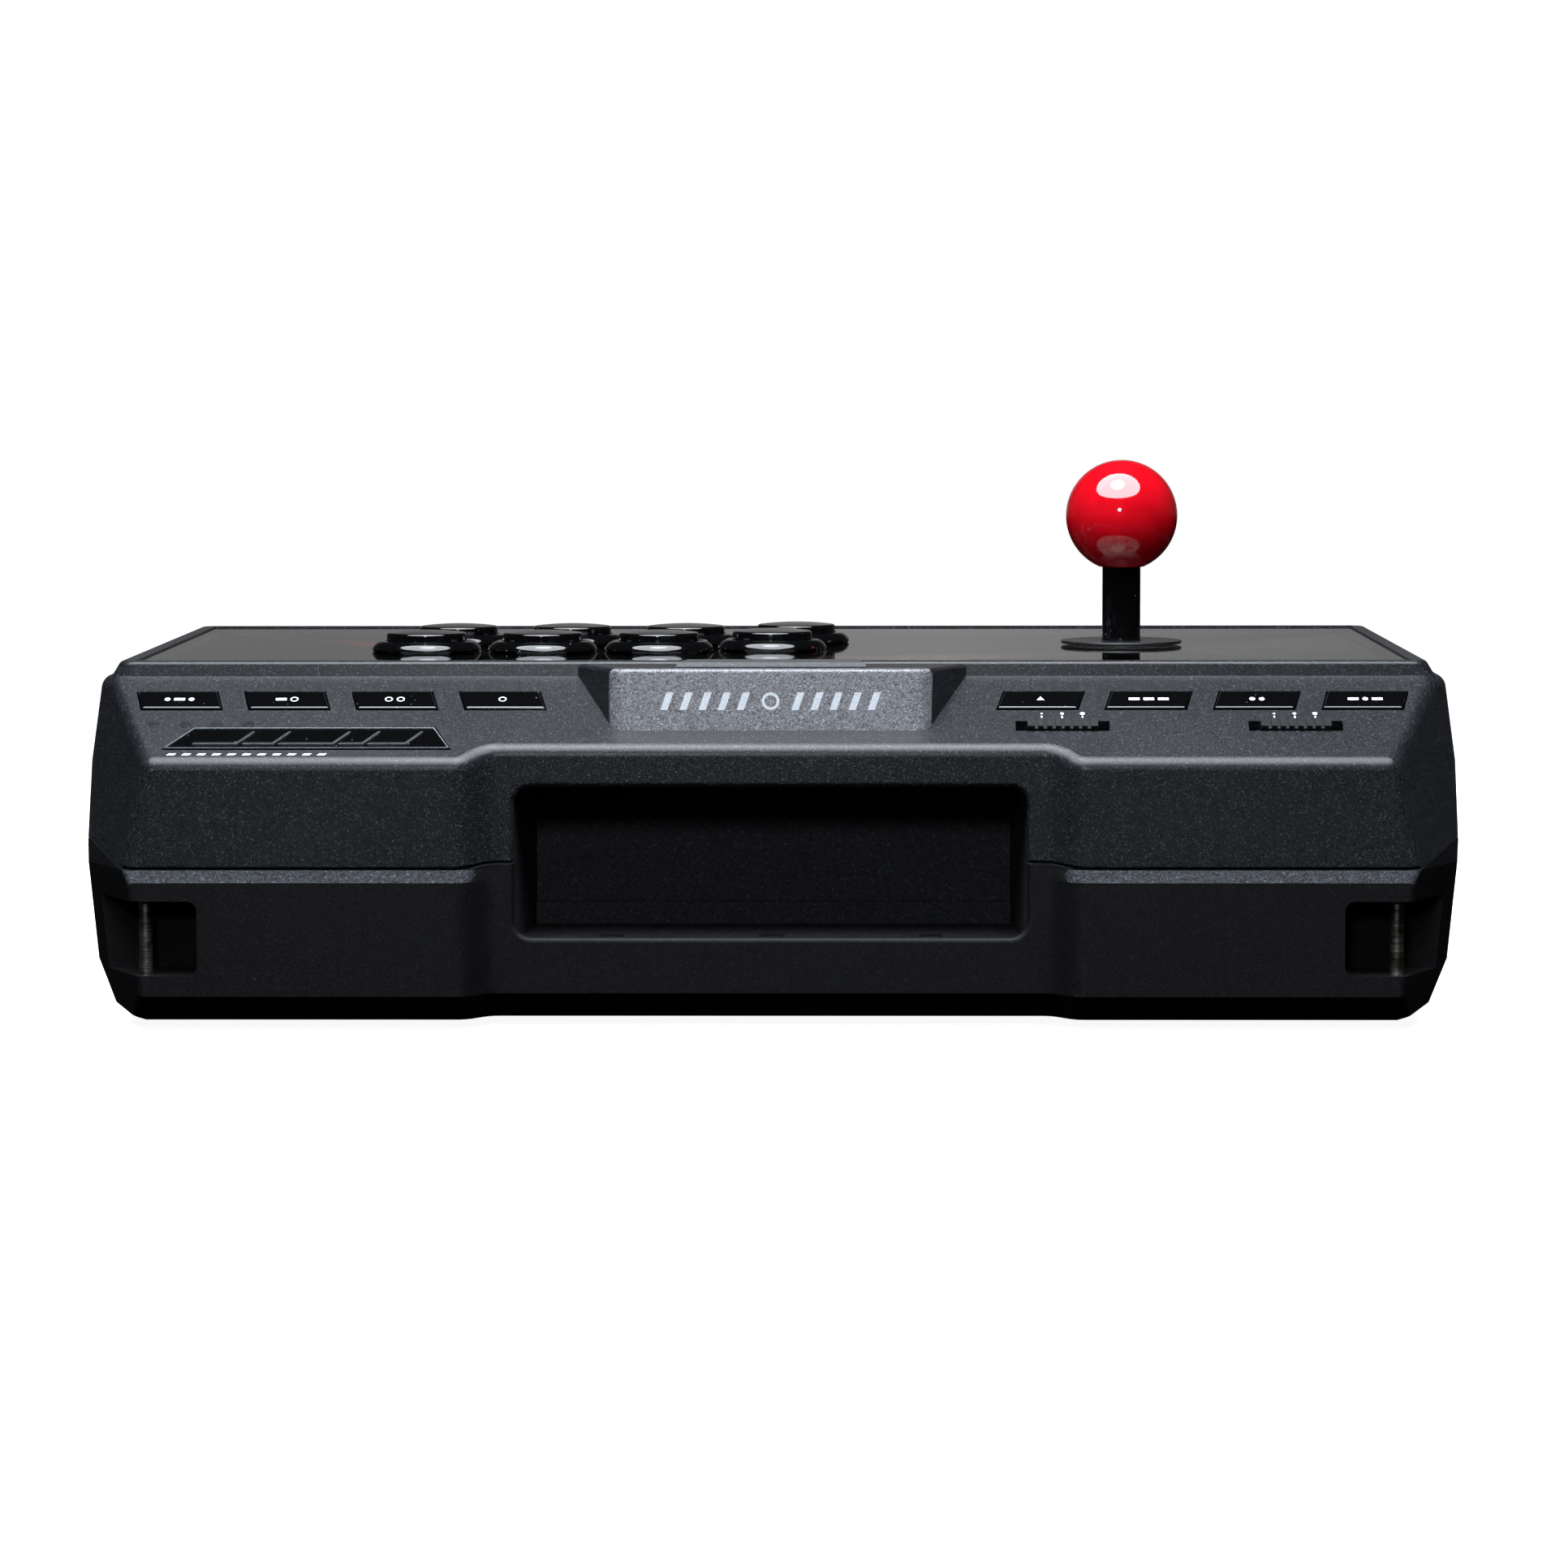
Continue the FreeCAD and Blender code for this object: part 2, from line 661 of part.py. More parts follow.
def together(shapes):
    return Part.makeCompound(shapes)


def case_screw_top():
    return case_boss_split - case_screw_length / 2 + case_screw_length


# ---- bottom shell --------------------------------------------------------------------------------
def lower_form(inset=0.0):
    return convex(case_planes(), inset).cut(behind(lower_levels(), inset))


def lower_skin():
    body = lower_form().common(below_seam(-seam_gap / 2))
    upright = edges_where(body, lambda e: abs(e.tangentAt(e.FirstParameter).z) > 0.5
                          and abs(e.CenterOfMass.x) > back_foot_x - edge_radius)
    return body.makeFillet(edge_radius / 2, upright)


def pocket(side, grow=0.0):
    """The strap pocket in one back corner, open at the back and at the side."""
    low = (pocket_inner_x - grow, back_y - pocket_depth - grow, pocket_bottom - grow)
    body = block(low, (half_width + wall, back_y + wall, pocket_top + grow))
    inner = edges_where(body, lambda e: e.BoundBox.XMax < pocket_inner_x + 0.01)
    body = body.makeFillet(pocket_corner, inner)
    return body if side > 0 else mirror_x(body)


def bottom_shell():
    """Lower moulding: floor, walls, strap pockets, screw bosses and board standoffs."""
    skin = lower_skin()
    linings = [pocket(side, wall).common(skin) for side in (-1, 1)]
    root = floor_z + wall / 2
    bosses = [cylinder(x, y, root, case_boss_radius + wall / 2, case_boss_split - root)
              for x, y in case_boss_places()]
    posts = [cylinder(x, y, root, standoff[0], wall / 2 + standoff[1]) for x, y in standoff_places()]
    body = join([skin.cut(lower_form(wall))] + linings + bosses + posts)
    hole = case_screw_radius + 2 * screw_clearance
    seat = case_boss_split - case_screw_length / 2
    drill = [cylinder(x, y, 0, hole, rim_height) for x, y in case_boss_places()]
    drill += [cylinder(x, y, 0, head_pocket_radius, seat) for x, y in case_boss_places()]
    post_bottom, post_length = post_span()
    bore = post_radius + screw_clearance
    drill += [cylinder(side * post_x, back_y - post_inset, post_bottom, bore, post_length) for side in (-1, 1)]
    sockets = [cylinder(x, y, 0, foot_radius + screw_clearance, floor_z + foot_dish[1])
               for x, y in foot_places()]
    mouth = bay_mouth(centre_back_y - 2 * wall, back_y + wall)
    body = body.cut(together(drill))
    return round_mouth(body.cut(together([pocket(-1), pocket(1), mouth] + sockets)))


# ---- cable bay and strap posts -------------------------------------------------------------------
def bay_form(grow, floor_drop, end):
    """Tapered bar of the bay: mouth width at the back wall, narrower at its inner end."""
    mouth_y = centre_back_y - wall
    points = [(-bay_width / 2 - grow, mouth_y), (bay_width / 2 + grow, mouth_y),
              (bay_back_width / 2 + grow, end), (-bay_back_width / 2 - grow, end)]
    low, high = bay_bottom - floor_drop, bay_top + grow
    return prism([(x, y, low) for x, y in points], (0, 0, high - low))


def cable_bay():
    """Open tub behind the back wall's mouth, where the lead is stowed."""
    end = centre_back_y - bay_depth
    outer = bay_form(wall, bay_lip + wall, end)
    inner = bay_form(0, bay_lip, end + wall)
    body = outer.cut(inner)
    step_up, step_in = bay_step
    step_low = bay_bottom - bay_lip - wall / 2
    step = block((-bay_back_width / 2 - wall / 2, end + wall / 2, step_low),
                 (bay_back_width / 2 + wall / 2, end + wall + step_in, step_low + wall / 2 + step_up))
    body = join([body, step])
    port = [inlet_size[i] / 2 + screw_clearance for i in (0, 2)]
    hole = block((inlet_place[0] - port[0], end - wall, inlet_place[1] - port[1]),
                 (inlet_place[0] + port[0], end + 2 * wall, inlet_place[1] + port[1]))
    screws = [cylinder(x, bay_screw_y(), 0, case_screw_radius + screw_clearance, bay_bottom)
              for x in bay_screw_xs()]
    return body.cut(together([hole] + screws))


def bay_screw_xs():
    return (-bay_screw_x, 0, bay_screw_x)


def bay_screw_y():
    return centre_back_y - wall - 2 * bay_screw_head[0]


def bay_screws():
    top = bay_bottom - bay_lip
    head, height = bay_screw_head
    return [join([cylinder(x, bay_screw_y(), top, head, height),
                  cylinder(x, bay_screw_y(), top - 3 * wall, case_screw_radius, 3 * wall)])
            for x in bay_screw_xs()]


def post_span():
    return pocket_bottom - post_socket, pocket_top - pocket_bottom + 2 * post_socket


def strap_post(side):
    """Steel pin across a strap pocket, both ends in blind sockets."""
    bottom, length = post_span()
    body = cylinder(side * post_x, back_y - post_inset, bottom, post_radius, length)
    return body.makeChamfer(post_radius / 5, edges_where(body, lambda e: e.BoundBox.ZLength < 0.01))


# ---- panel stack ---------------------------------------------------------------------------------
def panel_sheet(low, high, lever_radius, screw_radius):
    """One layer of the panel with the button, lever and screw holes."""
    body = panel_block(-panel_clearance, low, high)
    thick = high - low
    holes = [cylinder(x, y, low - thick, button_hole_radius, 3 * thick) for x, y in button_places()]
    holes.append(cylinder(lever_x, lever_y, low - thick, lever_radius, 3 * thick))
    holes += [cylinder(x, y, low - thick, screw_radius, 3 * thick) for x, y in panel_screw_places()]
    return body.cut(together(holes))


def panel_plate():
    body = panel_sheet(plate_bottom, sheet_bottom, lever_hole_radius, panel_screw_radius + screw_clearance)
    radius = lever_screw_radius + screw_clearance
    holes = [cylinder(x, y, plate_bottom - 1, radius, plate_thickness + 2) for x, y in lever_screw_places()]
    return body.cut(together(holes))


def art_sheet():
    return panel_sheet(sheet_bottom, cover_bottom, lever_hole_radius, panel_screw_radius + screw_clearance)


def clear_cover():
    body = panel_sheet(cover_bottom, cover_top, lever_hole_radius, panel_screw_radius + screw_clearance)
    radius, height = panel_screw_head
    seats = [cylinder(x, y, cover_top - height - screw_clearance, radius + screw_clearance, 2 * height)
             for x, y in panel_screw_places()]
    return body.cut(together(seats))


def panel_screws():
    radius, height = panel_screw_head
    under = cover_top - height
    hex_radius = radius / 2
    screws = []
    for x, y in panel_screw_places():
        body = join([cylinder(x, y, under, radius, height),
                     cylinder(x, y, under - panel_screw_length, panel_screw_radius, panel_screw_length)])
        turns = [math.radians(60 * i) for i in range(6)]
        corners = [(x + hex_radius * math.cos(t), y + hex_radius * math.sin(t), cover_top - height / 2)
                   for t in turns]
        screws.append(body.cut(prism(corners, (0, 0, height))))
    return screws


# ---- buttons -------------------------------------------------------------------------------------
def button_rim(x, y):
    """Flange that swells from the bore's edge out to its widest just above the clear cover."""
    low, high = cover_top, cover_top + button_rim_height
    widest = cover_top + button_rim_foot
    lip = button_fit * 2
    crown = V(button_bore_radius + lip, 0, high)
    shoulder = V(button_rim_radius, 0, widest)
    swell = V((crown.x + 3 * shoulder.x) / 4, 0, widest + (high - widest) * 0.62)
    corners = [shoulder, V(button_rim_radius - lip, 0, low), V(button_bore_radius, 0, low),
               V(button_bore_radius, 0, high - lip), crown]
    edges = [Part.Arc(crown, swell, shoulder).toShape()]
    edges += [Part.LineSegment(a, b).toShape() for a, b in zip(corners, corners[1:])]
    body = Part.Face(Part.Wire(edges)).revolve(V(0, 0, 0), V(0, 0, 1), 360)
    body.translate(V(x, y, 0))
    return body


def button_housing(x, y):
    """Snap-in housing: swelling rim over a barrel, open above, with a floor below."""
    bottom = cover_top - button_body_length
    barrel = cylinder(x, y, bottom, button_body_radius, button_body_length)
    bore = cylinder(x, y, bottom + button_floor, button_bore_radius, button_body_length)
    half_w, half_l = switch_size[2] / 2, button_body_radius / 2
    slot = block((x - half_w, y - half_l, bottom - button_floor),
                 (x + half_w, y + half_l, bottom + 2 * button_floor))
    return join([button_rim(x, y), barrel.cut(bore)]).cut(slot)


def plunger(x, y):
    """Domed cap with a hollow skirt that slides in the housing."""
    top = cover_top + plunger_rise
    bottom = cover_top - button_body_length + button_floor + plunger_travel + 1
    cap = cylinder(x, y, bottom, plunger_radius, top - plunger_dome - bottom)
    sphere_radius = (plunger_radius ** 2 + plunger_dome ** 2) / (2 * plunger_dome)
    dome = Part.makeSphere(sphere_radius, V(x, y, top - sphere_radius))
    dome = dome.common(cylinder(x, y, top - plunger_dome, plunger_radius, plunger_dome + 1))
    body = join([cap, dome])
    rim = edges_where(body, lambda e: abs(e.BoundBox.ZMax - (top - plunger_dome)) < 0.01)
    body = body.makeFillet(plunger_dome, rim)
    roof = top - plunger_dome - plunger_wall
    hollow = cylinder(x, y, bottom - 1, plunger_radius - plunger_wall, roof - bottom + 1)
    stem = cylinder(x, y, bottom, plunger_stem_radius, roof - bottom + plunger_wall / 2)
    return join([body.cut(hollow), stem])


def button_switch(x, y):
    """Micro-switch clipped under the housing, with its two terminals."""
    length, width, height = switch_size
    top = cover_top - button_body_length
    body = block((x - length / 2, y - width / 2, top - height), (x + length / 2, y + width / 2, top))
    tab_w, tab_t, tab_h = switch_tab
    foot = top - height
    tabs = [block((mid - tab_w / 2, y - tab_t / 2, foot - tab_h), (mid + tab_w / 2, y + tab_t / 2, foot))
            for mid in (x - switch_tab_x, x + switch_tab_x)]
    return join([body] + tabs)


# ---- control strip pieces ------------------------------------------------------------------------
def function_key(x):
    """Slanted key cap with a flange under the strip and a stem to its switch."""
    flange_top = -wall - key_gap / 4
    cap = key_plate(x, 0, flange_top, key_rise)
    upper = edges_where(cap, lambda e: e.BoundBox.ZMin > key_rise - 0.01)
    cap = cap.makeFillet(key_round, upper)
    flange = key_plate(x, key_flange, flange_top - key_flange, flange_top)
    stem = cylinder(x, key_down, key_stem_foot(), key_stem_radius, flange_top - key_stem_foot())
    return on_strip(join([cap, flange, stem]))


def key_stem_foot():
    return -board_depth + key_travel + key_gap / 2


def key_boards():
    """Two narrow boards under the keys, one each side of the raised box."""
    reach = key_pitch * 3 / 2
    middle = key_first_x + reach
    half_w, half_l = reach + key_size[0] / 2 + 1, key_size[1] / 2 + 2
    low = -board_depth - board_thickness
    return [on_strip(block((side * middle - half_w, key_down - half_l, low),
                           (side * middle + half_w, key_down + half_l, -board_depth))) for side in (-1, 1)]


def slide_knob(x):
    """Ribbed slide with a flat foot that runs in the switch body."""
    half_w, half_l = knob_size[0] / 2, knob_size[1] / 2
    foot_top = -wall - key_gap / 2
    body = block((x - half_w, slot_down - half_l, foot_top), (x + half_w, slot_down + half_l, knob_rise))
    pitch = knob_size[0] / knob_ribs
    middles = [x - half_w + (i + 1) * pitch for i in range(knob_ribs - 1)]
    grooves = [block((middle - pitch / 5, slot_down - half_l - 1, knob_rise / 3),
                     (middle + pitch / 5, slot_down + half_l + 1, knob_rise + 1)) for middle in middles]
    foot = block((x - half_w - knob_foot, slot_down - half_l - knob_foot, foot_top - knob_foot),
                 (x + half_w + knob_foot, slot_down + half_l + knob_foot, foot_top))
    return on_strip(join([body.cut(together(grooves)), foot]))


def slide_switch_body(x):
    """Channel under a slot that carries the slide."""
    foot_bottom = -wall - key_gap / 2 - knob_foot
    half_w = knob_size[0] / 2 + knob_foot + knob_travel + key_gap
    half_l = knob_size[1] / 2 + knob_foot + key_gap / 2
    channel = block((x - half_w, slot_down - half_l, foot_bottom - key_gap / 2),
                    (x + half_w, slot_down + half_l, 0))
    half_w, half_l = half_w + slide_body_wall, half_l + slide_body_wall
    body = block((x - half_w, slot_down - half_l, foot_bottom - slide_body_depth),
                 (x + half_w, slot_down + half_l, -wall))
    return on_strip(body.cut(channel))


def led_lens(x):
    lens = cylinder(x, led_down, -wall, led_radius, wall + led_rise)
    crown = edges_where(lens, lambda e: e.BoundBox.ZMin > led_rise / 2)
    return on_strip(lens.makeFillet(led_rise / 2, crown))


def badge_inlay():
    """Plain slanted trim plate seated in its shallow pocket."""
    plate = badge_plate(-screw_clearance, -badge_pocket, badge_depth - badge_pocket)
    top = edges_where(plate, lambda e: e.BoundBox.ZMin > badge_depth - badge_pocket - 0.01)
    return on_strip(plate.makeChamfer((badge_depth - badge_pocket) / 2, top))


def touch_pad():
    """Pressing pad in the top of the raised box, held by a flange under it, with a long bevel along
    its back edge."""
    roof = rim_height - box_drop
    under = roof - wall - key_gap / 4
    top = roof + pad_rise
    body = pad_plate(0, under, top)
    back = frame_back_y + box_length - pad_inset
    down, along = pad_bevel
    bevel = [(-far, back - along, top), (-far, back + 1, top - down - down / along), (-far, back + 1, top)]
    body = body.cut(prism(bevel, (2 * far, 0, 0)))
    return join([body, pad_plate(key_flange, under - key_flange, under)])


# ---- lever ---------------------------------------------------------------------------------------
def ball_top():
    centre = V(lever_x, lever_y, ball_centre_height)
    ball = Part.makeSphere(ball_radius, centre)
    flat = ball_foot()
    below = block((lever_x - far, lever_y - far, 0), (lever_x + far, lever_y + far, flat))
    bore = cylinder(lever_x, lever_y, 0, shaft_radius + screw_clearance, ball_centre_height + 1)
    return ball.cut(below).cut(bore)


def ball_foot():
    return ball_centre_height - math.sqrt(ball_radius ** 2 - (cover_tube_radius + 1) ** 2)


def cover_foot():
    return pivot_z + math.sqrt(pivot_radius ** 2 - shaft_radius ** 2) + pivot_gap


def lever_shaft():
    foot = gate_bottom - shaft_tail
    body = cylinder(lever_x, lever_y, foot, shaft_radius, ball_centre_height - foot)
    depth, height = clip_groove
    groove = ring(lever_x, lever_y, gate_bottom - clip_drop, shaft_radius + 1, shaft_radius - depth, height)
    body = body.cut(groove)
    return body.makeChamfer(shaft_radius / 8, edges_where(body, lambda e: e.BoundBox.ZMax < foot + 0.01))


def shaft_cover():
    return ring(lever_x, lever_y, cover_foot(), cover_tube_radius, shaft_radius + screw_clearance,
                ball_foot() - cover_foot())


def dust_washer():
    hole = cover_tube_radius + 0.5
    body = ring(lever_x, lever_y, cover_top + washer_gap, washer_radius, hole, washer_thickness)
    outer = edges_where(body, lambda e: e.BoundBox.XLength > 2 * washer_radius - 0.01
                        and e.BoundBox.ZLength < 0.01)
    return body.makeFillet(washer_thickness / 3, outer)


def glide_ring():
    """Thin slip ring that the dust washer rides on."""
    inner, outer = glide_radii
    return ring(lever_x, lever_y, cover_top + screw_clearance, outer, inner, glide_thickness)


def lever_mount_plate():
    half_x, half_y = mount_plate[0] / 2, mount_plate[1] / 2
    body = round_box((lever_x - half_x, lever_y - half_y, lever_body_top),
                     (lever_x + half_x, lever_y + half_y, plate_bottom), mount_corner)
    radius = lever_screw_radius + screw_clearance
    low, depth = lever_body_top - 1, mount_plate[2] + 2
    holes = [cylinder(x, y, low, radius, depth) for x, y in lever_screw_places()]
    holes.append(cylinder(lever_x, lever_y, low, lever_hole_radius, depth))
    return body.cut(together(holes))


def lever_screws():
    head, height = lever_screw_head
    length = mount_plate[2] + plate_thickness
    return [join([cylinder(x, y, lever_body_top - height, head, height),
                  cylinder(x, y, lever_body_top, lever_screw_radius, length)])
            for x, y in lever_screw_places()]


def lever_body():
    """Square housing that holds the pivot ball in a round seat, open above and below."""
    half = lever_body_width / 2
    inner = half - lever_body_wall
    body = round_box((lever_x - half, lever_y - half, lever_body_bottom),
                     (lever_x + half, lever_y + half, lever_body_top), mount_corner + lever_body_wall / 2)
    hollow = round_box((lever_x - inner, lever_y - inner, lever_body_bottom - 1),
                       (lever_x + inner, lever_y + inner, lever_body_top - lever_body_wall), mount_corner)
    seat_foot = pivot_z - pivot_radius / 2
    seat_outer = pivot_radius + pivot_gap + pivot_seat_wall
    seat = cylinder(lever_x, lever_y, seat_foot, seat_outer, lever_body_top - seat_foot)
    body = join([body.cut(hollow), seat])
    body = body.cut(Part.makeSphere(pivot_radius + pivot_gap, V(lever_x, lever_y, pivot_z)))
    body = body.cut(cylinder(lever_x, lever_y, pivot_z, pivot_radius + pivot_gap, rim_height))
    return body.cut(cylinder(lever_x, lever_y, 0, pivot_radius - 1, pivot_z))


def pivot_ball():
    ball = Part.makeSphere(pivot_radius, V(lever_x, lever_y, pivot_z))
    return ball.cut(cylinder(lever_x, lever_y, 0, shaft_radius + screw_clearance, rim_height))


def retainer_top():
    return pivot_z - pivot_radius - pivot_gap


def spring_retainer():
    """Loose plate washer above the centring spring."""
    low = retainer_top() - retainer_thickness
    hole = shaft_radius + (pivot_z - low) * math.tan(tilt) + pivot_gap
    return ring(lever_x, lever_y, low, retainer_radius(), hole, retainer_thickness)


def retainer_radius():
    return actuator_radius + 1.5


def spring_range():
    high = retainer_top() - retainer_thickness - retainer_radius() * math.tan(tilt) - pivot_gap
    return gate_top + 4, high


def lever_spring():
    low, high = spring_range()
    radius = shaft_radius + 2 * spring_wire
    length = high - low - 2 * spring_wire
    helix = Part.makeHelix(length / spring_turns, length, radius)
    profile = Part.Wire([Part.makeCircle(spring_wire, V(radius, 0, 0), V(0, 1, 0))])
    body = Part.Wire(helix).makePipeShell([profile], True, True)
    body.translate(V(lever_x, lever_y, low + spring_wire))
    return body


def actuator():
    low = gate_bottom - actuator_drop
    high = spring_range()[0]
    return ring(lever_x, lever_y, low, actuator_radius, shaft_radius + screw_clearance, high - low)


def e_clip():
    """Spring clip in the shaft's groove, open at one side."""
    depth, height = clip_groove
    low = gate_bottom - clip_drop + (height - clip_thickness) / 2
    body = ring(lever_x, lever_y, low, shaft_radius + 2, shaft_radius - depth, clip_thickness)
    half = shaft_radius - 1.5 * depth
    mouth = block((lever_x, lever_y - half, low - 1), (lever_x + far, lever_y + half, low + 2))
    return body.cut(mouth)


def restrictor_gate():
    """Square gate on four posts that stops the actuator."""
    half = lever_body_width / 2 - 2 * gate_post_radius
    hole = actuator_reach + pivot_gap
    plate = round_box((lever_x - half, lever_y - half, gate_bottom),
                      (lever_x + half, lever_y + half, gate_top), mount_corner)
    window = round_box((lever_x - hole, lever_y - hole, 0), (lever_x + hole, lever_y + hole, far),
                       mount_corner / 2)
    at = half - gate_post_radius - 1
    height = lever_switch[2] + 1
    posts = [cylinder(lever_x + sx * at, lever_y + sy * at, gate_top - 1, gate_post_radius, height)
             for sx in (-1, 1) for sy in (-1, 1)]
    return join([plate.cut(window)] + posts)


def lever_board():
    half = lever_body_width / 2 - 1
    body = block((lever_x - half, lever_y - half, lever_board_bottom),
                 (lever_x + half, lever_y + half, lever_body_bottom))
    return body.cut(cylinder(lever_x, lever_y, 0, actuator_reach + 1, far))


def lever_switches():
    """Four micro-switches round the actuator, under their board."""
    length, width, height = lever_switch
    near = lever_x + actuator_reach + pivot_gap
    switches = []
    for turn in range(4):
        body = block((near, lever_y - length / 2, gate_top),
                     (near + width, lever_y + length / 2, gate_top + height))
        body.rotate(V(lever_x, lever_y, 0), V(0, 0, 1), 90 * turn)
        switches.append(body)
    return switches


# ---- feet, case screws and electronics ------------------------------------------------------
def rubber_feet():
    recess, depth = foot_dish
    feet = []
    for x, y in foot_places():
        body = cylinder(x, y, 0, foot_radius, floor_z + foot_dish[1])
        body = body.makeFillet(foot_edge, edges_where(body, lambda e: e.BoundBox.ZMax < 0.01))
        feet.append(body.cut(cylinder(x, y, -1, recess, depth + 1)))
    return feet


def case_screws():
    head, height = case_screw_head
    seat = case_boss_split - case_screw_length / 2
    return [join([cylinder(x, y, seat - height, head, height),
                  cylinder(x, y, seat, case_screw_radius, case_screw_length)])
            for x, y in case_boss_places()]


def main_board():
    """Main board with its processor and connectors."""
    half_x, half_y = main_board_size[0] / 2, main_board_size[1] / 2
    low = floor_z + wall + standoff[1]
    face = low + board_thickness
    body = block((-half_x, main_board_y - half_y, low), (half_x, main_board_y + half_y, face))
    chip_w, chip_l, chip_h = chip_size
    chip = block((-chip_w / 2, main_board_y - chip_l / 2, face),
                 (chip_w / 2, main_board_y + chip_l / 2, face + chip_h))
    plug_w, plug_l, plug_h = plug_size
    plug_back = main_board_y + half_y - plug_inset
    plugs = [block((x - plug_w / 2, plug_back - plug_l, face), (x + plug_w / 2, plug_back, face + plug_h))
             for x in (-plug_x, 0, plug_x)]
    return join([body, chip] + plugs)


def usb_inlet():
    """Lead socket through the inner end of the cable bay."""
    width, depth, height = inlet_size
    x, z = inlet_place
    end = centre_back_y - bay_depth
    face = end + wall + inlet_proud
    body = block((x - width / 2, face - depth, z - height / 2), (x + width / 2, face, z + height / 2))
    reach, thick = inlet_flange
    flange = block((x - width / 2 - reach, end - thick, z - height / 2 - reach),
                   (x + width / 2 + reach, end, z + height / 2 + reach))
    port_w, port_h, port_d = inlet_port
    port = block((x - port_w / 2, face - port_d, z - port_h / 2), (x + port_w / 2, face + 1, z + port_h / 2))
    port = port.makeFillet(port_h * 0.45, edges_where(port, lambda e: abs(e.tangentAt(0).y) > 0.99))
    return join([body, flange]).cut(port)


# ---- build ------------------------------------------------------------------------------------
def build_case():
    save("top_shell", top_shell())
    save("bottom_shell", bottom_shell())
    save("cable_bay", cable_bay())
    save("bay_screws", *bay_screws())
    save("case_screws", *case_screws())
    save("rubber_feet", *rubber_feet())
    save("strap_post_right", strap_post(1))
    save("strap_post_left", strap_post(-1))
    save("main_board", main_board())
    save("usb_inlet", usb_inlet())


def build_panel():
    save("panel_plate", panel_plate())
    save("art_sheet", art_sheet())
    save("clear_cover", clear_cover())
    save("panel_screws", *panel_screws())
    places = button_places()
    save("button_housings", *[button_housing(x, y) for x, y in places])
    save("button_switches", *[button_switch(x, y) for x, y in places])
    for i, (x, y) in enumerate(places):
        save("button_plunger_%d" % (i + 1), plunger(x, y))


def build_strip():
    for i, x in enumerate(key_places()):
        save("function_key_%d" % (i + 1), function_key(x))
    save("key_boards", *key_boards())
    for i, x in enumerate(slot_x):
        save("slide_knob_%d" % (i + 1), slide_knob(x))
    save("slide_switch_bodies", *[slide_switch_body(x) for x in slot_x])
    save("led_lenses", *[led_lens(x) for x in led_xs()])
    save("badge_inlay", badge_inlay())
    save("touch_pad", touch_pad())


def build_lever():
    save("ball_top", ball_top())
    save("lever_shaft", lever_shaft())
    save("shaft_cover", shaft_cover())
    save("dust_washer", dust_washer())
    save("glide_ring", glide_ring())
    save("lever_mount_plate", lever_mount_plate())
    save("lever_screws", *lever_screws())
    save("lever_body", lever_body())
    save("pivot_ball", pivot_ball())
    save("spring_retainer", spring_retainer())
    save("lever_spring", lever_spring())
    save("actuator", actuator())
    save("e_clip", e_clip())
    save("restrictor_gate", restrictor_gate())
    save("lever_board", lever_board())
    save("lever_switches", *lever_switches())


build_case()
build_panel()
build_strip()
build_lever()
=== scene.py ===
import json
import math

import bmesh
import bpy
from mathutils import Matrix, Vector


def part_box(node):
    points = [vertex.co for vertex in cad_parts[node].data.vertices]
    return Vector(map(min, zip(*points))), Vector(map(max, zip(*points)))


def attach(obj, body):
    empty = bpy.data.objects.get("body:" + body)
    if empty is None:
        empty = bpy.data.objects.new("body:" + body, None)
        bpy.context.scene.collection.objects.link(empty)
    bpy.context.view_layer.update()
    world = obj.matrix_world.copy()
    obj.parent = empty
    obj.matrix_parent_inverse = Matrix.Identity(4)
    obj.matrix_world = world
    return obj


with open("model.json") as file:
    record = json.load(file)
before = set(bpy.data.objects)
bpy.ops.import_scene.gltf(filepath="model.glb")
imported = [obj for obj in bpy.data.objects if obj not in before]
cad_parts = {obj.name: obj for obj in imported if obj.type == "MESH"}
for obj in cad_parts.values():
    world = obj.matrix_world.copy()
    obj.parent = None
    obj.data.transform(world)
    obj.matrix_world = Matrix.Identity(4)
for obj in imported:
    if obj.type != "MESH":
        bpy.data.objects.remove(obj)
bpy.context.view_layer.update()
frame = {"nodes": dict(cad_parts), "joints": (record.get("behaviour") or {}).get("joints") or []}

nodes = frame["nodes"]
mm = 0.001


# small helpers for colour and nodes; a texture's Scale is in cells per metre
def hexToLinear(code):
    values = [int(code[i:i + 2], 16) / 255 for i in (0, 2, 4)]
    return (*[v / 12.92 if v <= 0.04045 else ((v + 0.055) / 1.055) ** 2.4 for v in values], 1.0)


def grey(value):
    return (value, value, value, 1.0)


def addNode(tree, kind, inputs=None, **settings):
    node = tree.nodes.new(kind)
    for name, value in settings.items():
        setattr(node, name, value)
    for name, value in (inputs or {}).items():
        if isinstance(value, bpy.types.NodeSocket):
            tree.links.new(value, node.inputs[name])
        else:
            node.inputs[name].default_value = value
    return node


def newMaterial(name, ior=1.5, metallic=0.0, specular=0.5):
    material = bpy.data.materials.new(name)
    material.use_nodes = True
    tree = material.node_tree
    tree.nodes.clear()
    shader = addNode(tree, "ShaderNodeBsdfPrincipled", {
        "IOR": ior, "Metallic": metallic, "Specular IOR Level": specular})
    addNode(tree, "ShaderNodeOutputMaterial", {"Surface": shader.outputs[0]})
    point = addNode(tree, "ShaderNodeTexCoord").outputs["Object"]
    return material, tree, shader, point


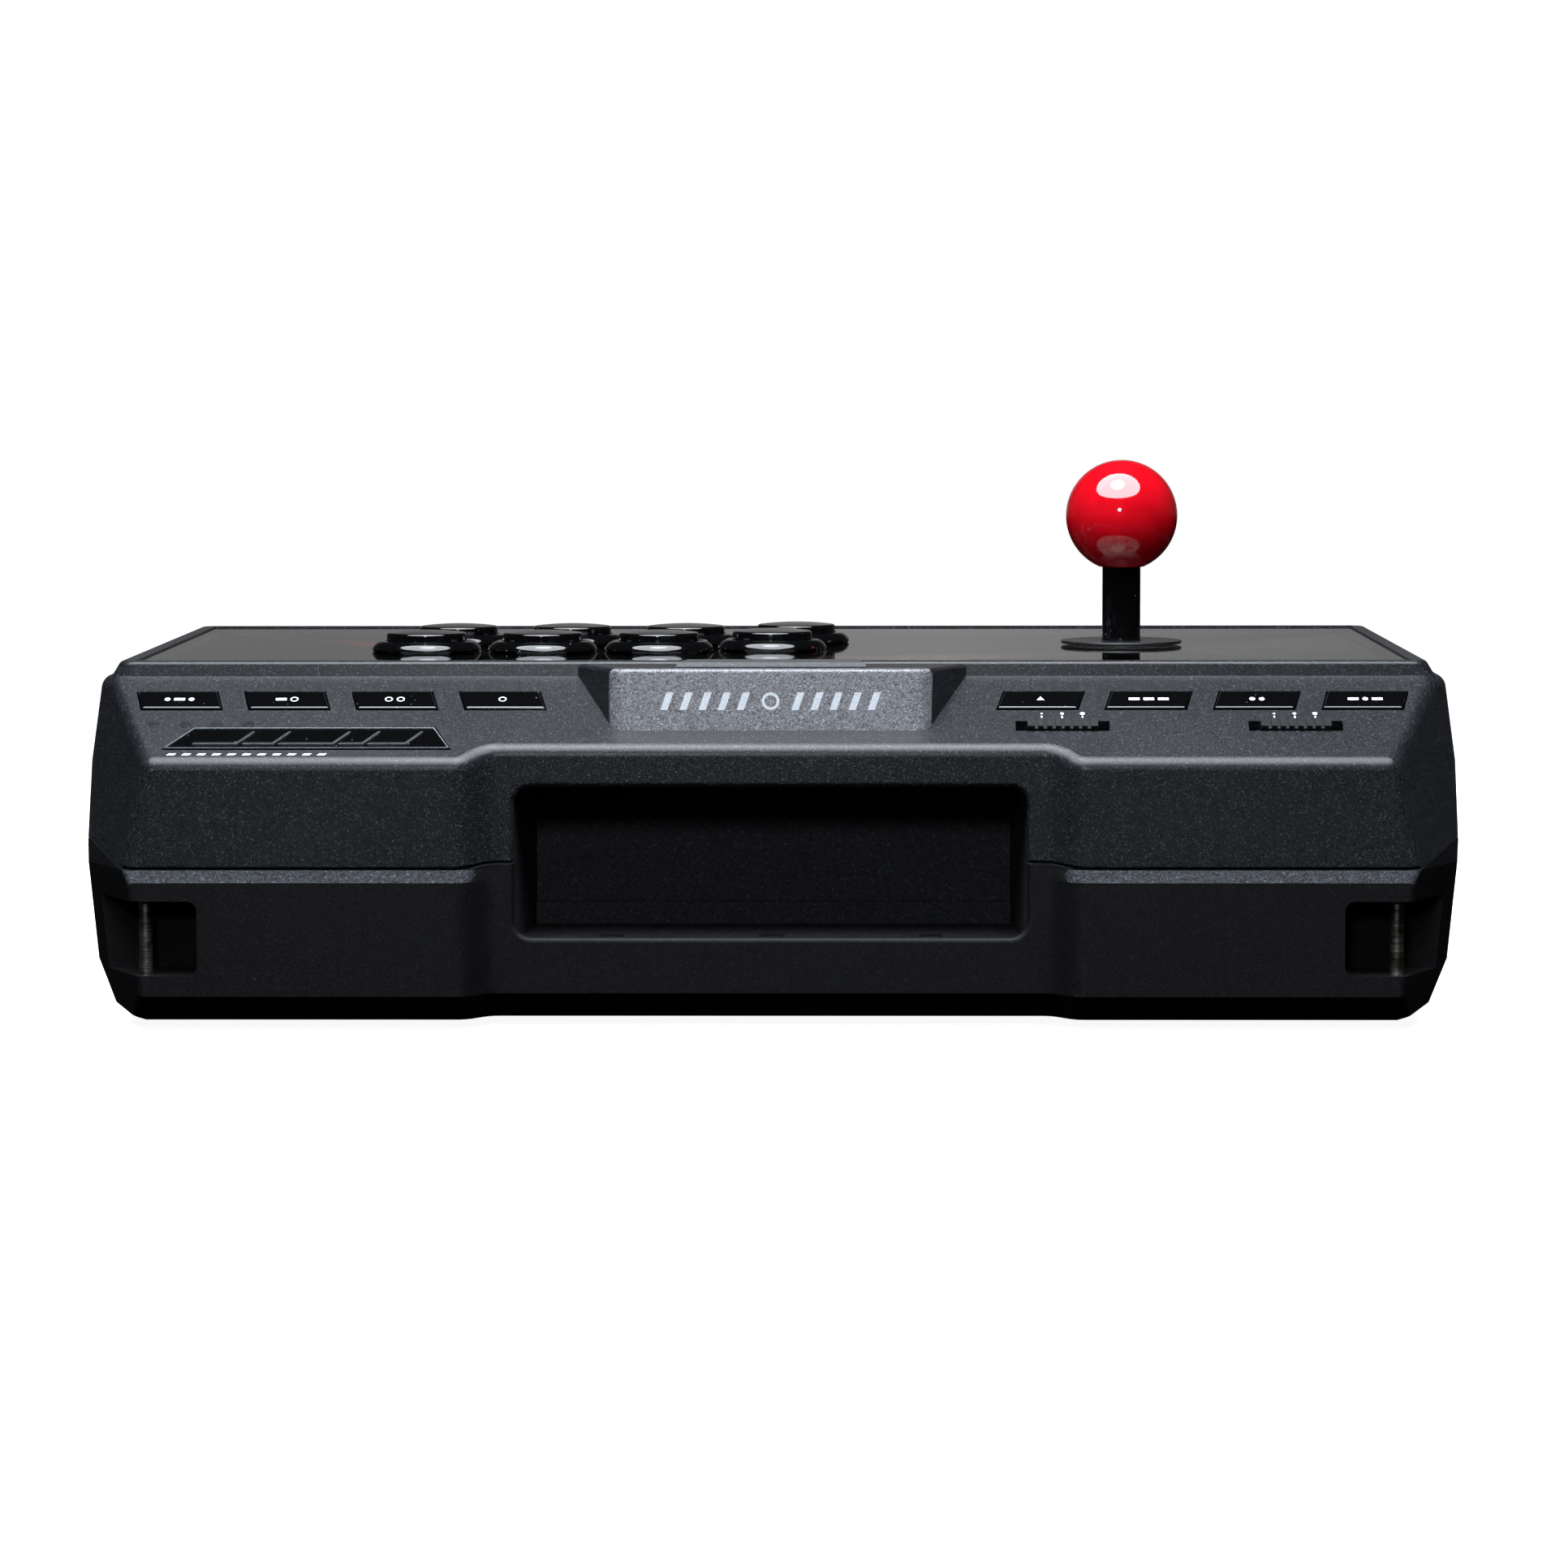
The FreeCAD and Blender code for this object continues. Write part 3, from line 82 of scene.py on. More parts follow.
def ramp(tree, factor, *stops):
    node = addNode(tree, "ShaderNodeValToRGB", {"Fac": factor})
    elements = node.color_ramp.elements
    while len(elements) < len(stops):
        elements.new(0.5)
    for element, (position, colour) in zip(elements, stops):
        element.position, element.color = position, colour
    return node.outputs["Color"]


def plug(tree, shader, **links):
    for name, socket in links.items():
        tree.links.new(socket, shader.inputs[name.replace("_", " ")])


# moulded ABS, spark-eroded mould: charcoal black with a dull sheen; its pits, drawn at about 0.35 mm so that
# they show, each tilt the light a little differently, the lightest of them carry painted glints, and there
# are a few specks of dust
def makeMouldedAbs(name, look):
    material, tree, shader, point = newMaterial(name, specular=look["specular"])
    pit = addNode(tree, "ShaderNodeTexVoronoi", {"Vector": point, "Scale": 1 / (look["grain"] * mm)})
    facet = addNode(tree, "ShaderNodeSeparateColor", {"Color": pit.outputs["Color"]})
    cloud = addNode(tree, "ShaderNodeTexNoise", {"Vector": point, "Scale": 16.0, "Detail": 4.0})
    speck = addNode(tree, "ShaderNodeTexVoronoi", {"Vector": point, "Scale": 90.0})
    light = hexToLinear(look["light"])
    # painted highlight: the lightest facets take the glint colour, a sparkle painted into the base colour
    tint = ramp(tree, facet.outputs[0], (0.1, hexToLinear(look["deep"])), (0.6, light), (0.9, light),
                (1.0, hexToLinear(look["paintedGlint"])))
    dust = ramp(tree, speck.outputs["Distance"], (0.008, grey(look["dust"])), (0.022, grey(0.0)))
    coloured = addNode(tree, "ShaderNodeMix", {0: dust, 6: tint, 7: hexToLinear("9a9a9c")},
                       data_type="RGBA")
    spread = addNode(tree, "ShaderNodeMath", {0: facet.outputs[1], 1: cloud.outputs["Fac"]},
                     operation="MULTIPLY")
    rough = addNode(tree, "ShaderNodeMapRange", {
        "Value": spread.outputs[0], "From Max": 0.7, "To Min": look["rough"][0], "To Max": look["rough"][1]})
    bump = addNode(tree, "ShaderNodeBump", {"Height": facet.outputs[2], "Distance": look["depth"] * mm})
    plug(tree, shader, Base_Color=coloured.outputs[2], Roughness=rough.outputs[0], Normal=bump.outputs[0])
    return material


# polished ABS: near-black, mirror-like, with hairline wiping marks and a few dust specks
def makePolishedAbs(name, look):
    material, tree, shader, point = newMaterial(name, ior=1.53, specular=look["specular"])
    smear = addNode(tree, "ShaderNodeTexNoise", {
        "Vector": point, "Scale": 45.0, "Detail": 5.0, "Distortion": 0.6})
    hair = addNode(tree, "ShaderNodeTexNoise", {"Vector": point, "Scale": 900.0, "Detail": 2.0})
    speck = addNode(tree, "ShaderNodeTexVoronoi", {"Vector": point, "Scale": 330.0})
    dust = ramp(tree, speck.outputs["Distance"], (0.04, grey(look["dust"])), (0.08, grey(0.0)))
    coloured = addNode(tree, "ShaderNodeMix", {
        0: dust, 6: hexToLinear(look["colour"]), 7: hexToLinear("b0b0b2")}, data_type="RGBA")
    rough = addNode(tree, "ShaderNodeMapRange", {
        "Value": smear.outputs["Fac"], "From Min": 0.35, "From Max": 0.7,
        "To Min": look["rough"][0], "To Max": look["rough"][1]})
    bump = addNode(tree, "ShaderNodeBump", {"Height": hair.outputs["Fac"], "Distance": 0.002 * mm})
    plug(tree, shader, Base_Color=coloured.outputs[2], Roughness=rough.outputs[0], Normal=bump.outputs[0])
    return material


# phenolic ball: deep red resin under a thick polish, faintly mottled
def makePhenolic(name, look):
    material, tree, shader, point = newMaterial(name, ior=1.55)
    mottle = addNode(tree, "ShaderNodeTexNoise", {"Vector": point, "Scale": 120.0, "Detail": 4.0})
    scuff = addNode(tree, "ShaderNodeTexNoise", {
        "Vector": point, "Scale": 500.0, "Detail": 6.0, "Distortion": 1.2})
    tint = ramp(tree, mottle.outputs["Fac"], (0.3, hexToLinear(look["deep"])),
                (0.7, hexToLinear(look["light"])))
    rough = ramp(tree, scuff.outputs["Fac"], (0.45, grey(look["rough"][0])), (0.8, grey(look["rough"][1])))
    plug(tree, shader, Base_Color=tint, Roughness=rough)
    shader.inputs["Coat Weight"].default_value = 0.6
    shader.inputs["Coat Roughness"].default_value = 0.03
    return material


# cast acrylic: a clear sheet whose outer face reflects more the flatter it is looked at, with dust and
# swirls; its inner face only lets light through
def makeAcrylic(name, look):
    material, tree, shader, point = newMaterial(name, metallic=1.0)
    speck = addNode(tree, "ShaderNodeTexVoronoi", {"Vector": point, "Scale": 170.0})
    swirl = addNode(tree, "ShaderNodeTexNoise", {
        "Vector": point, "Scale": 26.0, "Detail": 6.0, "Distortion": 1.5})
    dust = ramp(tree, speck.outputs["Distance"], (0.03, grey(look["dust"])), (0.08, grey(0.0)))
    shine = addNode(tree, "ShaderNodeFresnel", {"IOR": 1.49})
    dusty = addNode(tree, "ShaderNodeMath", {0: shine.outputs[0], 1: dust}, operation="MAXIMUM")
    inner = addNode(tree, "ShaderNodeNewGeometry").outputs["Backfacing"]
    outer = addNode(tree, "ShaderNodeMath", {0: 1.0, 1: inner}, operation="SUBTRACT")
    cover = addNode(tree, "ShaderNodeMath", {0: dusty.outputs[0], 1: outer.outputs[0]}, operation="MULTIPLY")
    rough = addNode(tree, "ShaderNodeMapRange", {
        "Value": swirl.outputs["Fac"], "From Min": 0.35, "From Max": 0.7,
        "To Min": look["rough"][0], "To Max": look["rough"][1]})
    shader.inputs["Base Color"].default_value = grey(0.9)
    plug(tree, shader, Roughness=rough.outputs[0])
    clear = addNode(tree, "ShaderNodeBsdfTransparent")
    sheet = addNode(tree, "ShaderNodeMixShader", {
        0: cover.outputs[0], 1: clear.outputs[0], 2: shader.outputs[0]})
    output = next(node for node in tree.nodes if node.type == "OUTPUT_MATERIAL")
    tree.links.new(sheet.outputs[0], output.inputs["Surface"])
    return material


# screen-printed film: cloudy charcoal with a soft red glow at one side and amber streaks by the lever
def makePrintedSheet(name, look):
    material, tree, shader, point = newMaterial(name)
    cloud = addNode(tree, "ShaderNodeTexNoise", {"Vector": point, "Scale": 7.0, "Detail": 3.0})
    fibre = addNode(tree, "ShaderNodeTexNoise", {"Vector": point, "Scale": 1800.0, "Detail": 2.0})
    tint = ramp(tree, cloud.outputs["Fac"], (0.3, hexToLinear(look["deep"])),
                (0.7, hexToLinear(look["light"])))
    stretch = addNode(tree, "ShaderNodeMapping", {"Vector": point, "Scale": (6.0, 190.0, 1.0)})
    streak = addNode(tree, "ShaderNodeTexNoise", {"Vector": stretch.outputs[0], "Scale": 1.0, "Detail": 2.0})
    bands = ramp(tree, streak.outputs["Fac"], (0.45, grey(0.0)), (0.7, grey(1.0)))
    for centre, reach, colour, mask in look["glows"]:
        near = addNode(tree, "ShaderNodeMapping", {"Vector": point, "Location": centre, "Scale": reach},
                       vector_type="TEXTURE")
        away = addNode(tree, "ShaderNodeVectorMath", {0: near.outputs[0]}, operation="LENGTH")
        glow = ramp(tree, away.outputs["Value"], (0.0, grey(1.0)), (1.0, grey(0.0)))
        amount = addNode(tree, "ShaderNodeMath", {0: glow, 1: bands if mask else 1.0}, operation="MULTIPLY")
        tint = addNode(tree, "ShaderNodeMix", {0: amount.outputs[0], 6: tint, 7: hexToLinear(colour)},
                       data_type="RGBA").outputs[2]
    bump = addNode(tree, "ShaderNodeBump", {"Height": fibre.outputs["Fac"], "Distance": 0.01 * mm})
    plug(tree, shader, Base_Color=tint, Normal=bump.outputs[0])
    shader.inputs["Roughness"].default_value = 0.55
    return material


# turned or plated steel: tight rings round Z, with darker rubbed patches
def makeSteel(name, look):
    material, tree, shader, point = newMaterial(name, metallic=1.0)
    stretch = addNode(tree, "ShaderNodeMapping", {
        "Vector": point, "Scale": (60.0, 60.0, 1 / (look["ring"] * mm))})
    rings = addNode(tree, "ShaderNodeTexNoise", {"Vector": stretch.outputs[0], "Scale": 1.0, "Detail": 3.0})
    patch = addNode(tree, "ShaderNodeTexNoise", {"Vector": point, "Scale": 220.0, "Detail": 5.0})
    tint = ramp(tree, patch.outputs["Fac"], (0.35, hexToLinear(look["deep"])),
                (0.6, hexToLinear(look["light"])))
    rough = ramp(tree, rings.outputs["Fac"], (0.3, grey(look["rough"][0])), (0.7, grey(look["rough"][1])))
    bump = addNode(tree, "ShaderNodeBump", {"Height": rings.outputs["Fac"], "Distance": 0.01 * mm})
    plug(tree, shader, Base_Color=tint, Roughness=rough, Normal=bump.outputs[0])
    return material


# plain finishes that differ in colour, grain size and roughness: powder coat, oxide, rubber, nylon, ink
def makeCoat(name, look):
    material, tree, shader, point = newMaterial(
        name, metallic=look.get("metallic", 0.0), specular=look.get("specular", 0.5))
    grain = addNode(tree, "ShaderNodeTexNoise", {
        "Vector": point, "Scale": 1 / (look["grain"] * mm), "Detail": 4.0})
    tint = ramp(tree, grain.outputs["Fac"], (0.3, hexToLinear(look["deep"])),
                (0.7, hexToLinear(look["light"])))
    rough = ramp(tree, grain.outputs["Fac"], (0.3, grey(look["rough"][0])), (0.7, grey(look["rough"][1])))
    bump = addNode(tree, "ShaderNodeBump", {"Height": grain.outputs["Fac"], "Distance": look["depth"] * mm})
    plug(tree, shader, Base_Color=tint, Roughness=rough, Normal=bump.outputs[0])
    return material


# grain, depth of the grain and ring spacing are in millimetres
finishes = {
    "shellAbs": makeMouldedAbs("moulded ABS spark-eroded black", {
        "deep": "08090b", "light": "17191d", "paintedGlint": "404248",
        "grain": 0.34, "depth": 0.06, "rough": (0.28, 0.44), "dust": 0.3, "specular": 0.36}),
    # partly painted light: the lip's upward faces get a coarser grain and a lighter copy of the lower shell's
    # black, standing in for light from above
    "litLipAbs": makeMouldedAbs("moulded ABS coarse black, painted lighter", {
        "deep": "121316", "light": "2a2c31", "paintedGlint": "4a4c52",
        "grain": 0.5, "depth": 0.08, "rough": (0.6, 0.8), "dust": 0.3, "specular": 0.12}),
    "lowerAbs": makeMouldedAbs("moulded ABS fine black", {
        "deep": "060607", "light": "0c0c0e", "paintedGlint": "1c1c22",
        "grain": 0.34, "depth": 0.03, "rough": (0.48, 0.62), "dust": 0.15, "specular": 0.16}),
    "bayAbs": makeMouldedAbs("moulded ABS bay lining", {
        "deep": "151518", "light": "28282d", "paintedGlint": "4a4a50",
        "grain": 0.6, "depth": 0.035, "rough": (0.5, 0.65), "dust": 0.4, "specular": 0.3}),
    # painted light: a lighter copy of the shell's ABS for the box face, standing in for the overhead light on
    # it
    "boxLightPaint": makeMouldedAbs("ABS with painted light on box face", {
        "deep": "45464a", "light": "74757a", "paintedGlint": "a0a1a6",
        "grain": 0.36, "depth": 0.06, "rough": (0.34, 0.46), "dust": 0.2, "specular": 0.5}),
    "lens": makeMouldedAbs("smoked acrylic lens", {
        "deep": "141518", "light": "191b1e", "paintedGlint": "202226",
        "grain": 0.5, "depth": 0.005, "rough": (0.2, 0.3), "dust": 0.3, "specular": 0.4}),
    "padAbs": makeMouldedAbs("satin painted ABS", {
        "deep": "2a2a2c", "light": "37383b", "paintedGlint": "54555a",
        "grain": 0.4, "depth": 0.01, "rough": (0.3, 0.38), "dust": 0.3, "specular": 0.5}),
    "gloss": makePolishedAbs("polished ABS black", {
        "colour": "050506", "rough": (0.04, 0.10), "dust": 0.4, "specular": 0.5}),
    "satin": makeMouldedAbs("satin ABS black", {
        "deep": "0d0d0f", "light": "18181b", "paintedGlint": "2a2a2e",
        "grain": 0.4, "depth": 0.01, "rough": (0.28, 0.36), "dust": 0.2, "specular": 0.5}),
    "ball": makePhenolic("polished phenolic red", {
        "deep": "a80512", "light": "bd0a18", "rough": (0.05, 0.1)}),
    "acrylic": makeAcrylic("cast acrylic clear", {"rough": (0.02, 0.06), "dust": 0.6}),
    "print": makePrintedSheet("screen-printed film", {"deep": "101012", "light": "5c5654", "glows": (
        ((0.125, -0.045, 0.1), (0.05, 0.05, 0.1), "e8201c", False),
        ((-0.055, 0.03, 0.1), (0.05, 0.04, 0.1), "e0ac58", True))}),
    "steel": makeSteel("turned steel bright", {
        "deep": "6f675c", "light": "c9c3b8", "ring": 0.25, "rough": (0.22, 0.4)}),
    "zinc": makeSteel("zinc plated steel", {
        "deep": "8c8c90", "light": "b9bbc0", "ring": 0.6, "rough": (0.25, 0.4)}),
    "blackScrew": makeCoat("black oxide steel", {
        "deep": "0c0c0d", "light": "1c1c1e", "grain": 0.5, "depth": 0.01, "rough": (0.3, 0.45),
        "metallic": 0.6}),
    "powder": makeCoat("powder coated steel", {
        "deep": "0d0d0e", "light": "1a1a1c", "grain": 0.6, "depth": 0.05, "rough": (0.5, 0.65)}),
    "rubber": makeCoat("moulded rubber", {
        "deep": "0e0e0e", "light": "1b1b1b", "grain": 1.2, "depth": 0.05, "rough": (0.75, 0.9),
        "specular": 0.3}),
    "board": makeCoat("fibreglass board, solder mask", {
        "deep": "0a2a14", "light": "123d1f", "grain": 2.0, "depth": 0.02, "rough": (0.3, 0.45)}),
    "nylon": makeCoat("natural nylon", {
        "deep": "cfcdc4", "light": "e2e0d8", "grain": 1.0, "depth": 0.02, "rough": (0.4, 0.5)}),
    "ink": makeCoat("screen-printed white ink", {
        "deep": "c9ccd2", "light": "e4e6ea", "grain": 0.4, "depth": 0.01, "rough": (0.4, 0.55)}),
    "silverInk": makeCoat("screen-printed silver ink", {
        "deep": "a9afb6", "light": "c9cfd6", "grain": 0.5, "depth": 0.01, "rough": (0.35, 0.5)}),
    "trim": makeCoat("satin silver trim", {
        "deep": "5f656c", "light": "868c94", "grain": 0.5, "depth": 0.01, "rough": (0.25, 0.35)}),
}

nodeFinish = {
    "top_shell": "shellAbs", "bottom_shell": "lowerAbs", "cable_bay": "bayAbs", "bay_screws": "blackScrew",
    "case_screws": "zinc", "rubber_feet": "rubber", "strap_post_right": "steel", "strap_post_left": "steel",
    "main_board": "board", "usb_inlet": "satin", "panel_plate": "powder", "art_sheet": "print",
    "clear_cover": "acrylic", "panel_screws": "blackScrew", "button_housings": "gloss",
    "button_switches": "satin", "key_boards": "board", "slide_knob_1": "satin", "slide_knob_2": "satin",
    "slide_switch_bodies": "satin", "led_lenses": "lens", "badge_inlay": "gloss", "touch_pad": "padAbs",
    "ball_top": "ball", "lever_shaft": "steel", "shaft_cover": "gloss", "dust_washer": "satin",
    "glide_ring": "nylon", "lever_mount_plate": "powder",
    "lever_screws": "zinc", "lever_body": "satin", "pivot_ball": "nylon", "spring_retainer": "zinc",
    "lever_spring": "steel", "actuator": "nylon", "e_clip": "zinc", "restrictor_gate": "satin",
    "lever_board": "board", "lever_switches": "satin"}
nodeFinish.update({name: "gloss" for name in nodes if name.startswith(("function_key", "button_plunger"))})


def dressNodes():
    for name, piece in nodes.items():
        piece.data.materials.clear()
        piece.data.materials.append(finishes[nodeFinish[name]])
    print("dressed", len(nodes), "CAD nodes")


# the directions of the control strip, from the way its keys travel: out of it, and up its slope
strip = {"out": -Vector(next(j["axis"] for j in frame["joints"] if j["name"] == "press_key_1")).normalized()}
strip["up"] = Vector((1, 0, 0)).cross(strip["out"]).normalized()


# the box's back face and its rounded corners get a lighter, sparkling grey, which is painted light standing
# in for the overhead light on them: the faces behind the touch pad, not far below it nor far out to the
# sides, that look back and aren't part of the strip
boxPaint = {"gap": 2, "down": 22, "reach": 1.8, "lean": 0.15, "sameAsStrip": 0.99}


def paintBoxFace():
    shell = nodes["top_shell"].data
    shell.materials.append(finishes["boxLightPaint"])
    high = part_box("touch_pad")[1]
    painted = 0
    for polygon in shell.polygons:
        c, n = polygon.center, polygon.normal
        behindPad = c.y > high[1] + boxPaint["gap"] * mm and c.z > high[2] - boxPaint["down"] * mm
        onStrip = n.dot(strip["out"]) >= boxPaint["sameAsStrip"]
        near = abs(c.x) < high[0] * boxPaint["reach"]
        if behindPad and near and n.y > boxPaint["lean"] and not onStrip:
            polygon.material_index = 1
            painted += 1
    print("painted", painted, "faces of the box")


# the lower shell's lip, which looks up behind the upper shell, has a duller and coarser grain; its upward
# faces are also painted lighter than the rest of the lower shell, as painted light from above
lipPaint = {"up": 0.3, "behind": 0.05, "down": 14}


def paintLip():
    shell = nodes["bottom_shell"].data
    shell.materials.append(finishes["litLipAbs"])
    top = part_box("bottom_shell")[1][2]
    painted = 0
    for polygon in shell.polygons:
        looksUp = polygon.normal.z > lipPaint["up"] and polygon.normal.y > lipPaint["behind"]
        if looksUp and polygon.center.z > top - lipPaint["down"] * mm:
            polygon.material_index = 1
            painted += 1
    print("grained", painted, "faces of the lip")


dressNodes()
paintBoxFace()
paintLip()


# corners of a node's face that looks along a direction
def faceCorners(name, out):
    places = [v.co.copy() for v in nodes[name].data.vertices]
    reach = max(co.dot(out) for co in places)
    return [co for co in places if co.dot(out) > reach - 0.02 * mm]


# middle, width and length of that face, laid out across X and up the slope
def faceFrame(name, out, up):
    corners = faceCorners(name, out)
    xs, ups = [c.x for c in corners], [c.dot(up) for c in corners]
    middle = Vector(((min(xs) + max(xs)) / 2, 0, 0)) + up * ((min(ups) + max(ups)) / 2)
    return middle + out * corners[0].dot(out), max(xs) - min(xs), max(ups) - min(ups)


# distance of the strip's surface along its own normal, read from its largest flat
def stripLevel():
    flats = [p for p in nodes["top_shell"].data.polygons if p.normal.dot(strip["out"]) > 0.9999]
    return max(flats, key=lambda p: p.area).center.dot(strip["out"])


# turns a flat layout onto a face: its x goes across, its y up the face and its z out of it
def planeMatrix(origin, out, up):
    across = up.cross(out)
    return Matrix.Translation(origin) @ Matrix((across, up, out)).transposed().to_4x4()


glyphSides = {"dot": 28, "ring": 36, "arrow": 3}
sharpEdge = 0.5  # an edge that turns more than this, in radians, is softened
ringLine = 0.16  # line width of a ring, as a share of its size


# leaves only a rim of the given width along the border of some flat faces
def keepRim(shape, faces, width):
    rim = bmesh.ops.inset_region(shape, faces=list(faces), thickness=width, use_boundary=True)["faces"]
    bmesh.ops.delete(shape, geom=[face for face in faces if face not in rim], context="FACES")


# one flat shape in a layout's own plane, as wide and long as asked, leaning over by slant
def addGlyph(shape, kind, place, size, slant=0.0):
    if kind == "bar":
        made = bmesh.ops.create_grid(shape, x_segments=1, y_segments=1, size=0.5)
    else:
        made = bmesh.ops.create_circle(shape, cap_ends=True, radius=0.5, segments=glyphSides[kind])
    bmesh.ops.scale(shape, verts=made["verts"], vec=(size[0], size[1], 1))
    for vertex in made["verts"]:
        vertex.co.x += vertex.co.y * slant
    bmesh.ops.translate(shape, verts=made["verts"], vec=(place[0], place[1], 0))
    if kind == "ring":
        keepRim(shape, {face for vertex in made["verts"] for face in vertex.link_faces}, min(size) * ringLine)


# raises a layout's flat shapes by its thickness, softens their upper rims and sets them on their face
def finishLayout(name, shape, thickness, matrix, finish, body, soften=0.0):
    raised = bmesh.ops.extrude_face_region(shape, geom=list(shape.faces))
    top = [item for item in raised["geom"] if isinstance(item, bmesh.types.BMVert)]
    bmesh.ops.translate(shape, verts=top, vec=(0, 0, thickness))
    bmesh.ops.recalc_face_normals(shape, faces=shape.faces)
    if soften:
        upper = [edge for edge in shape.edges if all(v in top for v in edge.verts)]
        rims = [edge for edge in upper if len(edge.link_faces) == 2 and edge.calc_face_angle(0) > sharpEdge]
        bmesh.ops.bevel(shape, geom=rims, offset=soften, offset_type="OFFSET", affect="EDGES", segments=2,
                        profile=0.5, material=-1)
    shape.transform(matrix)
    mesh = bpy.data.meshes.new(name)
    shape.to_mesh(mesh)
    shape.free()
    piece = bpy.data.objects.new(name, mesh)
    bpy.context.scene.collection.objects.link(piece)
    mesh.materials.append(finishes[finish])
    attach(piece, body)


# plain marks on the keys, printed in white: dots, bars, rings and arrows in rows
keyMarks = {
    "rows": (("dot", "bar", "dot"), ("bar", "ring"), ("ring", "ring"), ("ring",),
             ("arrow",), ("bar", "bar", "bar"), ("dot", "dot"), ("bar", "dot", "bar")),
    "sizes": {"dot": (1.7, 1.7), "bar": (3.2, 1.3), "ring": (2.4, 2.4), "arrow": (2.6, 2.4)},
    "gap": 1.1, "thick": 0.06}


def addKeyMarks():
    for number, row in enumerate(keyMarks["rows"], 1):
        origin = faceFrame(f"function_key_{number}", strip["out"], strip["up"])[0]
        shape = bmesh.new()
        sizes = [[v * mm for v in keyMarks["sizes"][kind]] for kind in row]
        gap = keyMarks["gap"] * mm
        left = -(sum(size[0] for size in sizes) + gap * (len(row) - 1)) / 2
        for kind, size in zip(row, sizes):
            addGlyph(shape, kind, (left + size[0] / 2, 0), size)
            left += size[0] + gap
        finishLayout(f"key_mark_{number}", shape, keyMarks["thick"] * mm,
                     planeMatrix(origin, strip["out"], strip["up"]), "ink", f"key_{number}")
    print("marked", len(keyMarks["rows"]), "keys")


# printed marks up the slope from the two slide switches: a tick for each of the knob's three places, and
# beyond it a dot that grows from place to place
switchMarks = {"dot": 1.1, "tick": (0.45, 1.3), "step": 6.0, "dotsUp": 6.2, "ticksUp": 4.4, "thick": 0.05}


def addSwitchMarks():
    for number in (1, 2):
        low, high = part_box(f"slide_knob_{number}")
        middle = (Vector(low) + Vector(high)) / 2
        origin = (Vector((middle.x, 0, 0)) + strip["up"] * middle.dot(strip["up"])
                  + strip["out"] * stripLevel())
        shape = bmesh.new()
        for step in (-1, 0, 1):
            x = step * switchMarks["step"] * mm
            dot = switchMarks["dot"] * (3 + step) / 3 * mm
            addGlyph(shape, "dot", (x, switchMarks["dotsUp"] * mm), (dot, dot))
            addGlyph(shape, "bar", (x, switchMarks["ticksUp"] * mm), [v * mm for v in switchMarks["tick"]])
        finishLayout(f"switch_marks_{number}", shape, switchMarks["thick"] * mm,
                     planeMatrix(origin, strip["out"], strip["up"]), "ink", "case")
    print("marked the slide switches")


# trim on the badge: a silver outline and a row of slanted gloss plates, each with its own thin silver
# edge, and a row of printed dashes down the slope from it
badgeTrim = {
    "inset": 0.7, "line": 0.28, "rise": 0.35, "edgeRise": 0.21, "plateRise": 0.5, "soft": 0.12, "length": 6.4,
    "plates": (13.0, 9.0, 16.0, 7.0, 11.0), "gap": 1.6, "slant": 0.75, "edge": 0.3,
    "dashes": 11, "first": 3.0, "pitch": 4.4, "dash": (2.2, 0.9), "below": 2.4, "thick": 0.05}


def addBadgeTrim():
    origin, width, length = faceFrame("badge_inlay", strip["out"], strip["up"])
    matrix = planeMatrix(origin, strip["out"], strip["up"])
    outline = bmesh.new()
    outline.from_mesh(nodes["badge_inlay"].data)
    outline.transform(matrix.inverted())
    under = [vertex for vertex in outline.verts if vertex.co.z < -badgeTrim["thick"] * mm]
    bmesh.ops.delete(outline, geom=under, context="VERTS")
    bmesh.ops.remove_doubles(outline, verts=outline.verts, dist=0.01 * mm)
    border = bmesh.ops.inset_region(outline, faces=outline.faces, thickness=badgeTrim["inset"] * mm,
                                    use_boundary=True)
    bmesh.ops.delete(outline, geom=border["faces"], context="FACES")
    keepRim(outline, set(outline.faces), badgeTrim["line"] * mm)
    finishLayout("badge_outline", outline, badgeTrim["rise"] * mm, matrix, "trim", "case")
    plates, edges = bmesh.new(), bmesh.new()
    total = sum(badgeTrim["plates"]) + badgeTrim["gap"] * (len(badgeTrim["plates"]) - 1)
    left = -total / 2
    for wide in badgeTrim["plates"]:
        place = ((left + wide / 2) * mm, 0)
        size = (wide * mm, badgeTrim["length"] * mm)
        addGlyph(plates, "bar", place, [v - badgeTrim["edge"] * mm for v in size], badgeTrim["slant"])
        addGlyph(edges, "bar", place, size, badgeTrim["slant"])
        left += wide + badgeTrim["gap"]
    finishLayout("badge_edges", edges, badgeTrim["edgeRise"] * mm, matrix, "trim", "case")
    finishLayout("badge_plates", plates, badgeTrim["plateRise"] * mm, matrix, "gloss", "case",
                 badgeTrim["soft"] * mm)
    dashes = bmesh.new()
    for i in range(badgeTrim["dashes"]):
        x = -width / 2 + (badgeTrim["first"] + i * badgeTrim["pitch"]) * mm
        addGlyph(dashes, "bar", (x, 0), [v * mm for v in badgeTrim["dash"]], badgeTrim["slant"])
    below = origin - strip["up"] * (length / 2 + badgeTrim["below"] * mm)
    below -= strip["out"] * (origin.dot(strip["out"]) - stripLevel())
    finishLayout("badge_dashes", dashes, badgeTrim["thick"] * mm,
                 planeMatrix(below, strip["out"], strip["up"]), "ink", "case")
    print("trimmed the badge")


# plain silver decoration on the box's back face: a ring between two groups of slanted bars
boxMark = {
    "ring": 5.2, "bar": (2.1, 5.2), "bars": 5, "pitch": 5.6, "first": 8.0, "slant": 0.35, "thick": 0.08,
    "facesBack": 0.95}


